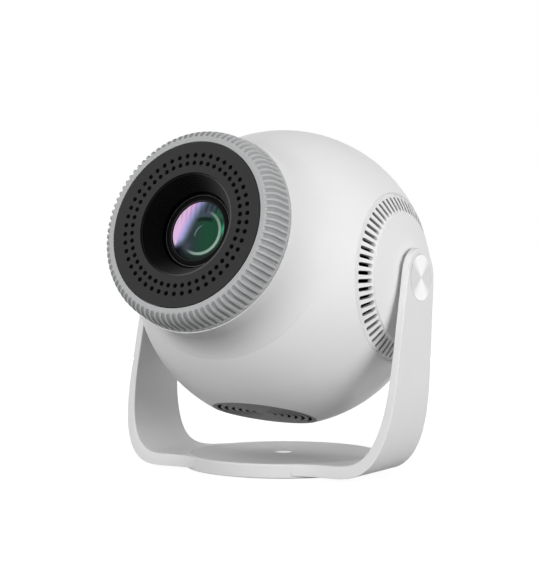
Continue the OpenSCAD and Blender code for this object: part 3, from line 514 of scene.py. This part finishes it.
def on_leg_edge(middle):
    """True on a leg's own edges, false on the foot line inside the base and round the cap's seat."""
    if middle.z < BASE_TOP + 1.2:
        return math.hypot(middle.x, middle.y) > BASE_R - 0.4
    return math.hypot(middle.y, middle.z - PIVOT_H) > CAP_R + 1


make_piece("stand_moulding", "stand", STAND,
           leg_sheets(1) + leg_sheets(-1) + [turned(base_disc(), 240, stand_place)],
           ["stand_bracket"], bevel=(EDGE_ROUND, on_leg_edge))


def cap_painted_highlight(points):
    """Painted highlight of turned metal: bright where the radius runs up or down, greyer to both sides."""
    y, z = points[:, 1], points[:, 2] - PIVOT_H * MM
    up = np.abs(z) / np.maximum(np.hypot(y, z), 1e-6)
    return (0.66 + 0.31 * smooth_step((up - 0.45) / 0.5))[:, None] * np.ones(3)


cover_hole, cover_back = INSERT_R + SEAT_GAP, BASE_TOP - COVER_T
cover = rounded([(COVER_R, cover_back), (COVER_R, BASE_TOP), (cover_hole, BASE_TOP), (cover_hole, cover_back)],
                [0, 0.3, 0.2, 0])
make_piece("base_cover_plate", "stand", COVER_PAINTED_SHADE, [turned(cover, 200, stand_place)], ["base_cover"])

cap_back = CAP_FACE - CAP_T
cap_face = [(r, CAP_FACE) for r in (CAP_R, 8, 3, 0.8, 0.2, 0)]
cap = rounded([(0, cap_back), (CAP_R, cap_back)] + cap_face, [0, 0.1, 0.35, 0, 0, 0, 0, 0], closed=False)
for label, side in SIDES.items():
    disc = make_piece("pivot_cap_disc_" + label, "stand", SPUN,
                      [turned(cap, 120, lambda p, s=side: arm_place(p, s), False)], ["pivot_cap_" + label])
    # Painted highlight on the cap's face.
    paint(disc, "painted_sheen", cap_painted_highlight)


# ---- focus ring ----

GROOVES = 90
GROOVE_DEPTH = 0.95
GROOVE_R = 1.1
GROOVE_SOFT = 0.03
RIM_R = 44.6
NOSE_R = 50.0
NOSE_LEN = 8.0


def grip_ring():
    """Focus ring: an elliptical nose and a leaning side, spun, with each point moved inwards by the groove's
    depth. The depth across a groove is sqrt(R^2 - c^2) - (R - D) for the arc length c from its middle, held
    above 0 by a soft maximum. D grows along the nose from nothing to its full value and ends short of the rear
    edge."""
    a = np.radians(np.linspace(0, 90, 28))
    front = PANEL_H + 0.05
    nose = np.stack([RIM_R - 0.05 + (NOSE_R - RIM_R) * np.sin(a), front - NOSE_LEN * (1 - np.cos(a))], -1)
    nose_out = np.stack([NOSE_LEN * np.sin(a), (NOSE_R - RIM_R) * np.cos(a)], -1)
    t = np.append(np.linspace(0, 0.78, 9)[1:], [0.82, 0.86, 0.9, 0.94, 1])[:, None]
    low = np.array([NOSE_R - 0.05, front - NOSE_LEN])
    high = np.array([NECK_R - 0.45, RING_BACK + 0.25])
    flank = low + (high - low) * t
    lean = high - low
    flank_out = np.broadcast_to([-lean[1], lean[0]], flank.shape)
    flange_r, sleeve_r, thread_r, mouth_r = 45.95, 43.6, 40.5, 42.55
    shoulder, sleeve_end, mouth_back = 90.3, 75.8, 95.2
    inner = rounded([(NECK_R - 0.7, RING_BACK), (flange_r, RING_BACK), (flange_r, shoulder),
                     (sleeve_r, shoulder), (sleeve_r, sleeve_end), (thread_r, sleeve_end),
                     (thread_r, mouth_back), (mouth_r, mouth_back), (mouth_r, front), (RIM_R - 0.4, front)],
                    [0, 0.2, 0, 0, 0, 0, 0, 0, 0.3, 0], closed=False)
    profile = np.concatenate([nose, flank, inner])
    out = np.concatenate([nose_out, flank_out, np.zeros_like(inner)])
    out /= np.maximum(np.linalg.norm(out, axis=1, keepdims=True), 1e-9)
    on_nose, on_flank = smooth_step((np.degrees(a) - 3) / 14), smooth_step((0.96 - t[:, 0]) / 0.14)
    full = np.concatenate([on_nose, on_flank, np.zeros(len(inner))])
    offset = np.array([-1.78, -1.45, -1.2, -1.11, -1.05, -0.95, -0.72, -0.4, 0,
                       0.4, 0.72, 0.95, 1.05, 1.11, 1.2, 1.45]) / 51
    angle = (np.arange(GROOVES)[:, None] * 2 * math.pi / GROOVES + offset).ravel()
    c = np.tile(offset, GROOVES) * profile[:, 0, None]
    q = np.sqrt(np.maximum(GROOVE_R ** 2 - c ** 2, 0)) - GROOVE_R + GROOVE_DEPTH * full[:, None]
    dip = 0.5 * (q + np.sqrt(q ** 2 + GROOVE_SOFT ** 2)) * (full > 0)[:, None]
    r = profile[:, 0, None] - dip * out[:, 0, None]
    h = profile[:, 1, None] - dip * out[:, 1, None]
    points = np.stack([r * np.cos(angle), r * np.sin(angle), h], -1)
    return lens_place(points).reshape(-1, 3), cells(*points.shape[:2], True, True)


def ring_painted_groove_shade(points):
    """Satin grey with painted shade along the middle of each groove, from just behind the front rim to just
    before the rear one."""
    u, v, h = lens_coords(points)
    r = np.hypot(u, v)
    pitch = 2 * math.pi / GROOVES
    c = r * ((np.arctan2(v, u) + pitch / 2) % pitch - pitch / 2)
    groove = smooth_step((1.2 - np.abs(c)) / 0.5) * smooth_step((r - RIM_R - 0.6) / 0.8)
    groove = groove * smooth_step((h - RING_BACK - 0.6) / 0.6)
    return (1 - 0.34 * groove)[:, None] * np.array([0.46, 0.465, 0.47])


grip = make_piece("focus_grip_ring", "focus_ring", RING, [grip_ring()], ["focus_ring"], sharp=50)
# Painted shade in the ring's grooves.
paint(grip, "ring_painted_groove_shade", ring_painted_groove_shade)


# ---- lens hood and lens ----

HOOD_R = 26.3
HOOD_WALL = 1.2
HOOD_LIP = 0.4
HOOD_STEPS = 9
HOOD_DEPTH = 11.0
BARREL_R = 18.6
BARREL_FRONT = 87.2
GLASS_R = 15.2
GLASS_APEX = 89.1
GLASS_CURVE = 40.0


def hood_profile():
    """Stepped funnel: equal steps from the mouth to the lens, each with a rounded nose, and a plain outside."""
    mouth, last, deep = HOOD_R - HOOD_WALL, BARREL_R + 0.6, 10.0
    i = np.arange(HOOD_STEPS)
    r = mouth - i * (mouth - last) / HOOD_STEPS
    h = PANEL_H - HOOD_LIP - i * deep / HOOD_STEPS
    stairs = np.stack([np.stack([r, h], -1), np.stack([r, h - deep / HOOD_STEPS], -1)], 1).reshape(-1, 2)
    back = PANEL_H - HOOD_DEPTH
    tail = [(r[-1], back), (r[-1] + HOOD_WALL, back), (HOOD_R, PANEL_BACK - 2.2),
            (HOOD_R + 1, PANEL_BACK - 1.2), (HOOD_R + 1, PANEL_BACK), (HOOD_R, PANEL_BACK)]
    corners = np.concatenate([[(HOOD_R, PANEL_H - HOOD_LIP)], stairs, tail])
    radii = np.concatenate([[0.25], np.tile([0.16, 0.1], HOOD_STEPS), np.zeros(len(tail))])
    radii[1] = 0.25
    return rounded(corners, radii, 4, hold=0.08)


def hood_painted_light(points):
    """Matt black with painted light, greyer to the right and below, and most of all a painted highlight on the
    lip of the mouth."""
    u, v, h = lens_coords(points)
    r = np.maximum(np.hypot(u, v), 1e-6)
    # Painted light: greyer to the right and below, strongest on the lip of the mouth.
    lit_side = smooth_step(((u * 0.94 - v * 0.34) / r + 0.45) / 1.2)
    lip = 0.085 * (h > PANEL_H - 0.62) * (r > HOOD_R - HOOD_LIP)
    return (0.0015 + 0.036 * lit_side + lip * lit_side)[:, None] * np.ones(3)


def edge_painted_highlight(points):
    """Black with a painted highlight line along the tube's mouth and along the lock ring's inner bevel."""
    u, v, h = lens_coords(points)
    r = np.hypot(u, v)
    # Painted highlight lines on the tube's mouth and the lock ring's bevel.
    tube = smooth_step((r - BARREL_R + 0.32) / 0.1) * smooth_step((h - BARREL_FRONT + 0.35) / 0.1)
    bevel = smooth_step((GLASS_R + 0.5 - r) / 0.1) * smooth_step((r - GLASS_R - 0.2) / 0.1)
    bevel = bevel * (h > BARREL_FRONT - 1)
    return (0.003 + 0.11 * tube + 0.08 * bevel)[:, None] * np.ones(3)


hood = make_piece("stepped_hood", "head", HOOD, [turned(hood_profile(), 160, lens_place)], ["lens_hood"])
paint(hood, "black_with_painted_light", hood_painted_light)

barrel_in, barrel_back = BARREL_R - 2.1, 46.2
shoulder, ring_seat, seat_r = 75.2, BARREL_FRONT - 3, barrel_in + 1.1
barrel = rounded([(barrel_in, barrel_back), (BARREL_R, barrel_back), (BARREL_R, BARREL_FRONT),
                  (seat_r, BARREL_FRONT), (seat_r, ring_seat), (barrel_in, ring_seat), (barrel_in, shoulder),
                  (barrel_in - 2, shoulder), (barrel_in - 2, shoulder - 1.5), (barrel_in, shoulder - 1.5)],
                 [0, 0, 0.3, 0.2, 0, 0, 0, 0.2, 0, 0])
tube = make_piece("lens_tube", "lens_unit", RETAINER, [turned(barrel, 128, lens_place)], ["lens_barrel"])
paint(tube, "black_with_painted_light", edge_painted_highlight)

ring_face, ring_back, ring_gap, bevel_w = BARREL_FRONT - 0.1, 86.15, 0.05, 0.45
retainer = rounded([(GLASS_R, ring_back), (barrel_in - ring_gap, ring_back), (barrel_in - ring_gap, ring_seat),
                    (seat_r - ring_gap, ring_seat), (seat_r - ring_gap, ring_face),
                    (GLASS_R + bevel_w, ring_face), (GLASS_R, ring_face - bevel_w)],
                   [0, 0, 0, 0, 0.25, 0.15, 0.1])
lock_ring = make_piece("lens_lock_ring", "lens_unit", RETAINER, [turned(retainer, 128, lens_place)],
                       ["lens_retaining_ring"])
paint(lock_ring, "black_with_painted_light", edge_painted_highlight)


def front_element():
    """Front glass: a ball cap h = apex - R + sqrt(R^2 - r^2), a round rim and a flat back."""
    rim_r, back = barrel_in - 0.1, shoulder
    r = np.linspace(0, rim_r, 110)
    cap = np.stack([r, GLASS_APEX - GLASS_CURVE + np.sqrt(GLASS_CURVE ** 2 - r ** 2)], -1)
    return np.concatenate([cap, [(rim_r, back + 0.02), (rim_r - 0.02, back), (0, back)]])


def lens_painted_reflection(points):
    """Colour of the coated glass by the places u (across) and v (up) on it, in mm, with reflections painted
    in: deep green to the right, slate above, a painted violet to pink reflection left of a slanted line, a
    painted teal highlight and glint, and the pale rim of the element behind as two painted arcs of light."""
    u, v, _ = lens_coords(points)

    def blend(a, b, t):
        return a + (np.array(b) - a) * t[:, None]

    def arc(mid_u, mid_v, radius, half, first, last):
        far = np.hypot(u - mid_u, v - mid_v)
        turn = np.degrees(np.arctan2(v - mid_v, u - mid_u))
        return (smooth_step((half + 0.2 - np.abs(far - radius)) / 0.4) * smooth_step((turn - first) / 30)
                * smooth_step((last - turn) / 30))

    colour = blend(np.array([[0.026, 0.040, 0.050]]), (0.010, 0.075, 0.036), smooth_step((u + 4) / 12))
    low = smooth_step((np.hypot(u - 2.1, v + 1.0) - 11) / 2) * smooth_step((-6 - v) / 5)
    colour = blend(colour, (0.012, 0.018, 0.018), low)
    above = smooth_step((v - 5.0) / 3)
    colour = blend(colour, (0.060, 0.085, 0.120), above * smooth_step((11 - u) / 5))
    colour = blend(colour, (0.025, 0.120, 0.080), above * smooth_step((u - 7) / 5))
    band_v = v - 5.5 + 0.03 * (u - 4.5) ** 2
    band = smooth_step((band_v + 1.8) / 1.5) * smooth_step((1.5 - band_v) / 1.0) * smooth_step((u + 2) / 3)
    colour = blend(colour, (0.003, 0.016, 0.012), band * smooth_step((9.5 - u) / 2))
    streak = smooth_step((np.cos(2 * math.pi * (u - 1) / 2.65) + 0.1) / 0.9) * smooth_step((v - 7.5) / 3)
    colour = blend(colour, (0.016, 0.020, 0.030), 0.7 * streak * smooth_step((u + 2) / 2))
    turn = np.degrees(np.arctan2(v + 1.0, u - 2.1))
    strong = np.interp(turn, [-130, -95, -30, 20, 75], [0.35, 0.85, 1.0, 0.75, 0.35])
    # Painted highlight: the pale rim of the element behind, as two arcs.
    colour = blend(colour, (0.38, 0.51, 0.43), strong * arc(2.1, -1.0, 10.95, 0.62, -140, 80))
    colour = blend(colour, (0.16, 0.21, 0.21), arc(6.3, -3.6, 6.2, 0.35, 105, 195))
    colour = blend(colour, (0.06, 0.45, 0.26), np.exp(-((u - 14.4) / 0.6) ** 2 - ((v - 0.6) / 2.6) ** 2))
    patch = np.exp(-((u + 4.3) / 2.6) ** 2 - ((v + 8.2) / 2.6) ** 2)
    colour = blend(colour, (0.055, 0.066, 0.085), patch)
    colour = blend(colour, (0.008, 0.006, 0.014), smooth_step((-7.5 - u) / 3) * smooth_step((-5.5 - v) / 3))
    # Painted reflection: violet to pink left of a slanted line.
    into = -5.0 + 0.40 * v - 0.020 * np.minimum(v, 0) ** 2 - u
    steps = [-4.0, -1.5, 0.8, 3.0, 5.5, 8.5]
    painted_sheen = np.stack([np.interp(into, steps, ramp) for ramp in (
        (0.06, 0.16, 0.34, 0.66, 1.00, 1.00), (0.09, 0.20, 0.36, 0.50, 0.62, 0.70),
        (0.12, 0.30, 0.66, 0.95, 1.00, 1.00))], -1)
    rays = 1 - 0.22 * smooth_step(np.cos(2.1 * u + 0.5 * v) * 2 - 0.6) * smooth_step((v - 1) / 8)
    colour = blend(colour, painted_sheen * rays[:, None], smooth_step((into + 5) / 6) * smooth_step((v + 9.5) / 6))
    glint = np.exp(-((u + 12.3) / 0.7) ** 2 - ((v + 5.6) / 1.1) ** 2)
    return blend(colour, (1.0, 0.95, 1.0), glint)


glass = make_piece("front_glass_element", "lens_unit", FRONT_GLASS,
                   [turned(front_element(), 256, lens_place, False)], ["front_lens"])
paint(glass, "painted_reflection", lens_painted_reflection)


# ---- side grilles ----

SLOTS = 60
SLOT_HALF = 0.95
SLOT_IN = 34.4
SLOT_OUT = 41.8
SLOT_WALL = 2.4


def slot_depth(r, c):
    """Depth of a slot at distance r and arc length c from its middle line: an upright wall round a slot with a
    round inner end and rounded corners at the outer end."""
    tip, corner_r = SLOT_IN + SLOT_HALF, 0.85
    near = np.clip(tip - r, 0, SLOT_HALF)
    half = np.sqrt(SLOT_HALF ** 2 - near ** 2)
    over = np.clip(r - SLOT_OUT + corner_r, 0, corner_r)
    half = half - corner_r + np.sqrt(corner_r ** 2 - over ** 2)
    across = smooth_step((half + 0.06 - np.abs(c)) / 0.12)
    return SLOT_WALL * across * (r > SLOT_IN) * (r < SLOT_OUT)


def ball_height(radius, r):
    """Height of a ball's surface at the distance r from its axis."""
    return np.sqrt(radius ** 2 - np.asarray(r) ** 2)


def grille_sheet(side):
    """Side grille: dome, band and rim as heights over rings, lowered by the slots. Cells at a slot's floor are
    left out. Lines beside a slot keep their distance from its middle, so that its walls stay parallel."""
    dome_r = np.linspace(4.3, DOME_R - 0.6, 14)
    dome = np.stack([dome_r, DOME_X - DOME_CURVE + ball_height(DOME_CURVE, dome_r)], -1)
    edge = DOME_X - DOME_CURVE + ball_height(DOME_CURVE, DOME_R)
    band_r = np.concatenate([[34.3, 34.38], np.arange(34.42, 35.4, 0.12), np.arange(35.6, 41.2, 0.7),
                             np.arange(41.25, 41.86, 0.1), [41.9, 42.4, 43.0]])
    band = np.stack([band_r, ball_height(BAND_R, band_r)], -1)
    foot_r, rim_foot, rim_in, out_r, skirt = DOME_R + 0.12, 43.2, 43.3, GRILLE_R - SEAT_GAP, 61.0
    step = rounded([dome[-1], (DOME_R, edge), (foot_r, ball_height(BAND_R, foot_r)), band[0]],
                   [0, 0.3, 0.15, 0], 3, closed=False, hold=0.05)[1:-1]
    rim = rounded([band[-1], (rim_foot, ball_height(BAND_R, rim_foot)), (rim_in, ball_height(BALL_R, rim_in)),
                   (out_r, ball_height(BALL_R, out_r)), (out_r, skirt)],
                  [0, 0.1, 0.15, 0.25, 0], 3, closed=False, hold=0.05)[1:]
    profile = np.concatenate([dome, step, band, rim])
    in_band = np.zeros(len(profile), bool)
    in_band[len(dome) + len(step):len(dome) + len(step) + len(band)] = True
    offset = np.array([-1.99, -1.5, -1.15, -1.02, -0.95, -0.88, -0.7, -0.4, 0,
                       0.4, 0.7, 0.88, 0.95, 1.02, 1.15, 1.5])
    r = profile[:, 0, None] + np.zeros(SLOTS * len(offset))
    c = np.tile(offset, SLOTS)
    reach = np.where(np.abs(c) < 1.3, np.clip(r, DOME_R, 43.0), 38.0)
    angle = np.repeat(np.arange(SLOTS) * 2 * math.pi / SLOTS, len(offset)) + c / reach
    depth = slot_depth(r, c) * in_band[:, None]
    points = np.stack([r * np.cos(angle), r * np.sin(angle), profile[:, 1, None] - depth], -1)
    faces = cells(*r.shape, False, True)
    return side_place(points, side).reshape(-1, 3), faces[depth.ravel()[faces].min(1) < 0.98 * SLOT_WALL]


def slot_painted_shade(points):
    """Pale moulding with painted shade on the slot walls, darker with their depth under the band."""
    u, v, h = lens_coords(points)
    r = np.hypot(v, h)
    deep = np.sqrt(np.maximum(BAND_R ** 2 - r ** 2, 0)) - np.abs(u)
    # Painted shade on the slot walls.
    wall = smooth_step((deep - 0.15) / 0.9) * (r > DOME_R + 0.3) * (r < SLOT_OUT + 0.2)
    return (0.80 - 0.45 * wall)[:, None] * np.ones(3)


for label, side in SIDES.items():
    vented = make_piece("vented_side_" + label, "head", GRILLE, [grille_sheet(side)],
                        ["side_grille_" + label], sharp=60)
    paint(vented, "slot_painted_shade", slot_painted_shade)


# ---- finishes of the pieces that keep their own solid ----

NODE_FINISH = {
    BODY: ["front_shell", "rear_cover", "power_button"],
    VENT_PAINTED_SHADE: ["bottom_vent"],
    INSERT: ["tripod_insert"],
    STEEL: ["pivot_bolt_left", "pivot_bolt_right", "pivot_nut_left", "pivot_nut_right",
            "cover_screws", "guide_rods", "base_weight"],
    RUBBER: ["base_pad"],
    FRICTION: ["friction_washer_left", "friction_washer_right"],
    INNER: ["grille_mesh_left", "grille_mesh_right", "vent_filter", "lens_mount", "lens_carrier",
            "lens_spacer", "rear_lens_ring", "engine_housing", "fan_frame", "fan_rotor", "speaker",
            "audio_socket", "dc_inlet", "lcd_panel", "pivot_hub_left", "pivot_hub_right"],
    PANEL: ["front_panel"],
    GREEN_GLASS: ["middle_lens"],
    CLEAR_GLASS: ["rear_lens", "front_fresnel", "rear_fresnel", "condenser_lens"],
    LED_BASE: ["led_module"],
    ALUMINIUM: ["heat_sink"],
    BOARD: ["main_board", "power_board", "io_board"],
    REAR: ["rear_panel"],
    SOCKET: ["hdmi_socket", "usb_socket"],
    IR_RED: ["ir_window"],
}
for material, names in NODE_FINISH.items():
    for name in names:
        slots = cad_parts[name].data.materials
        slots.clear()
        slots.append(material)


# ---- floor, light and camera ----

def seen_white(tree):
    """1 for rays from the camera, in gloss and through glass, 0 for light that bounces off matt surfaces."""
    path = tree.nodes.new("ShaderNodeLightPath")
    total = None
    for ray in ("Is Camera Ray", "Is Glossy Ray", "Is Transmission Ray"):
        if total is None:
            total = path.outputs[ray]
            continue
        largest = tree.nodes.new("ShaderNodeMath")
        largest.operation = "MAXIMUM"
        tree.links.new(total, largest.inputs[0])
        tree.links.new(path.outputs[ray], largest.inputs[1])
        total = largest.outputs[0]
    return total


FLOOR_HALF = 4.0
FLOOR_FADE = (0.08, 0.30)
FLOOR_GLOW = (0.95, 1.05)
FLOOR_SHADOW = 0.12
FLOOR_BOUNCE = 0.10
AMBIENT = 0.01
LAMP_FAR = 1.1
LAMP_W = 0.8


def pale_floor():
    """Wide level sheet: white to the eye with a faint shadow close to the object, a soft grey to light that
    bounces."""
    xy = np.array([-FLOOR_HALF, FLOOR_HALF])
    x, y = np.meshgrid(xy, xy, indexing="ij")
    points = np.stack([x, y, 0 * x], -1).reshape(-1, 3)
    mesh = bpy.data.meshes.new("floor")
    mesh.from_pydata(points, [], cells(2, 2)[:, ::-1])
    floor = bpy.data.objects.new("floor", mesh)
    bpy.context.scene.collection.objects.link(floor)
    material = bpy.data.materials.new("floor_paper")
    material.use_nodes = True
    tree = material.node_tree
    tree.nodes.remove(tree.nodes["Principled BSDF"])
    bounce = tree.nodes.new("ShaderNodeBsdfDiffuse")
    bounce.inputs["Color"].default_value = (FLOOR_BOUNCE, FLOOR_BOUNCE, FLOOR_BOUNCE, 1)
    paper = tree.nodes.new("ShaderNodeBsdfDiffuse")
    paper.inputs["Color"].default_value = (FLOOR_SHADOW, FLOOR_SHADOW, FLOOR_SHADOW, 1)
    glow = tree.nodes.new("ShaderNodeEmission")
    place = tree.nodes.new("ShaderNodeTexCoord")
    away = tree.nodes.new("ShaderNodeVectorMath")
    away.operation = "LENGTH"
    tree.links.new(place.outputs["Object"], away.inputs[0])
    fade = tree.nodes.new("ShaderNodeMapRange")
    for socket, value in zip(("From Min", "From Max", "To Min", "To Max"), FLOOR_FADE + FLOOR_GLOW):
        fade.inputs[socket].default_value = value
    tree.links.new(away.outputs["Value"], fade.inputs["Value"])
    tree.links.new(fade.outputs["Result"], glow.inputs["Strength"])
    both = tree.nodes.new("ShaderNodeAddShader")
    tree.links.new(paper.outputs[0], both.inputs[0])
    tree.links.new(glow.outputs[0], both.inputs[1])
    pick = tree.nodes.new("ShaderNodeMixShader")
    tree.links.new(seen_white(tree), pick.inputs[0])
    tree.links.new(bounce.outputs[0], pick.inputs[1])
    tree.links.new(both.outputs[0], pick.inputs[2])
    tree.links.new(pick.outputs[0], tree.nodes["Material Output"].inputs["Surface"])
    mesh.materials.append(material)


def white_room():
    """World that is white to the eye and a dim even light to matt surfaces."""
    world = bpy.data.worlds.new("white_room")
    bpy.context.scene.world = world
    world.use_nodes = True
    tree = world.node_tree
    shade = tree.nodes["Background"]
    shade.inputs["Color"].default_value = (1, 1, 1, 1)
    strength = tree.nodes.new("ShaderNodeMapRange")
    strength.inputs["To Min"].default_value = AMBIENT
    strength.inputs["To Max"].default_value = 1.0
    tree.links.new(seen_white(tree), strength.inputs["Value"])
    tree.links.new(strength.outputs["Result"], shade.inputs["Strength"])


def soft_lamp(name, toward, height, watts):
    """Rectangular lamp that faces the ball's centre from the given direction and stays out of reflections."""
    lamp = bpy.data.lights.new(name, "AREA")
    lamp.shape = "RECTANGLE"
    lamp.size, lamp.size_y = LAMP_W, height
    lamp.energy = watts
    holder = bpy.data.objects.new(name, lamp)
    holder.visible_glossy = False
    toward = np.array(toward, float) / np.linalg.norm(toward)
    across = np.cross([0, 0, 1.0], toward)
    across = across / np.linalg.norm(across)
    up = np.cross(toward, across)
    spot = np.array([0, 0, PIVOT_H * MM]) + toward * LAMP_FAR
    holder.matrix_world = Matrix(np.vstack([np.column_stack([across, up, toward, spot]), [0, 0, 0, 1]]))
    bpy.context.scene.collection.objects.link(holder)


pale_floor()
white_room()
soft_lamp("side_lamp", (0.996, 0.0, 0.087), LAMP_W, 12.6)
soft_lamp("front_lamp", (0.0, -0.996, 0.087), LAMP_W, 11.8)
soft_lamp("top_lamp", (0.0, -0.05, 1.0), LAMP_W, 2.7)
soft_lamp("left_lamp", (-0.766, 0.0, 0.643), LAMP_W, 2.4)
soft_lamp("back_lamp", (-0.506, 0.862, -0.05), 0.08, 9.0)

# The photograph's camera: focal length and height of the image in pixels
FOCAL_PX = 1414.48
IMAGE_H = 565.0
SENSOR_H = 36.0
camera_data = bpy.data.cameras.new("photo_camera")
camera_data.sensor_fit = "VERTICAL"
camera_data.sensor_height = SENSOR_H
camera_data.lens = FOCAL_PX * SENSOR_H / IMAGE_H
camera_data.clip_start = 0.02
camera = bpy.data.objects.new("photo_camera", camera_data)
camera.location = (0.38993, -0.66441, 0.10095)
camera.rotation_euler = [math.radians(a) for a in (89.9314, 0.0777, 30.9592)]
bpy.context.scene.collection.objects.link(camera)
bpy.context.scene.camera = camera
bpy.context.scene.view_settings.view_transform = "Standard"
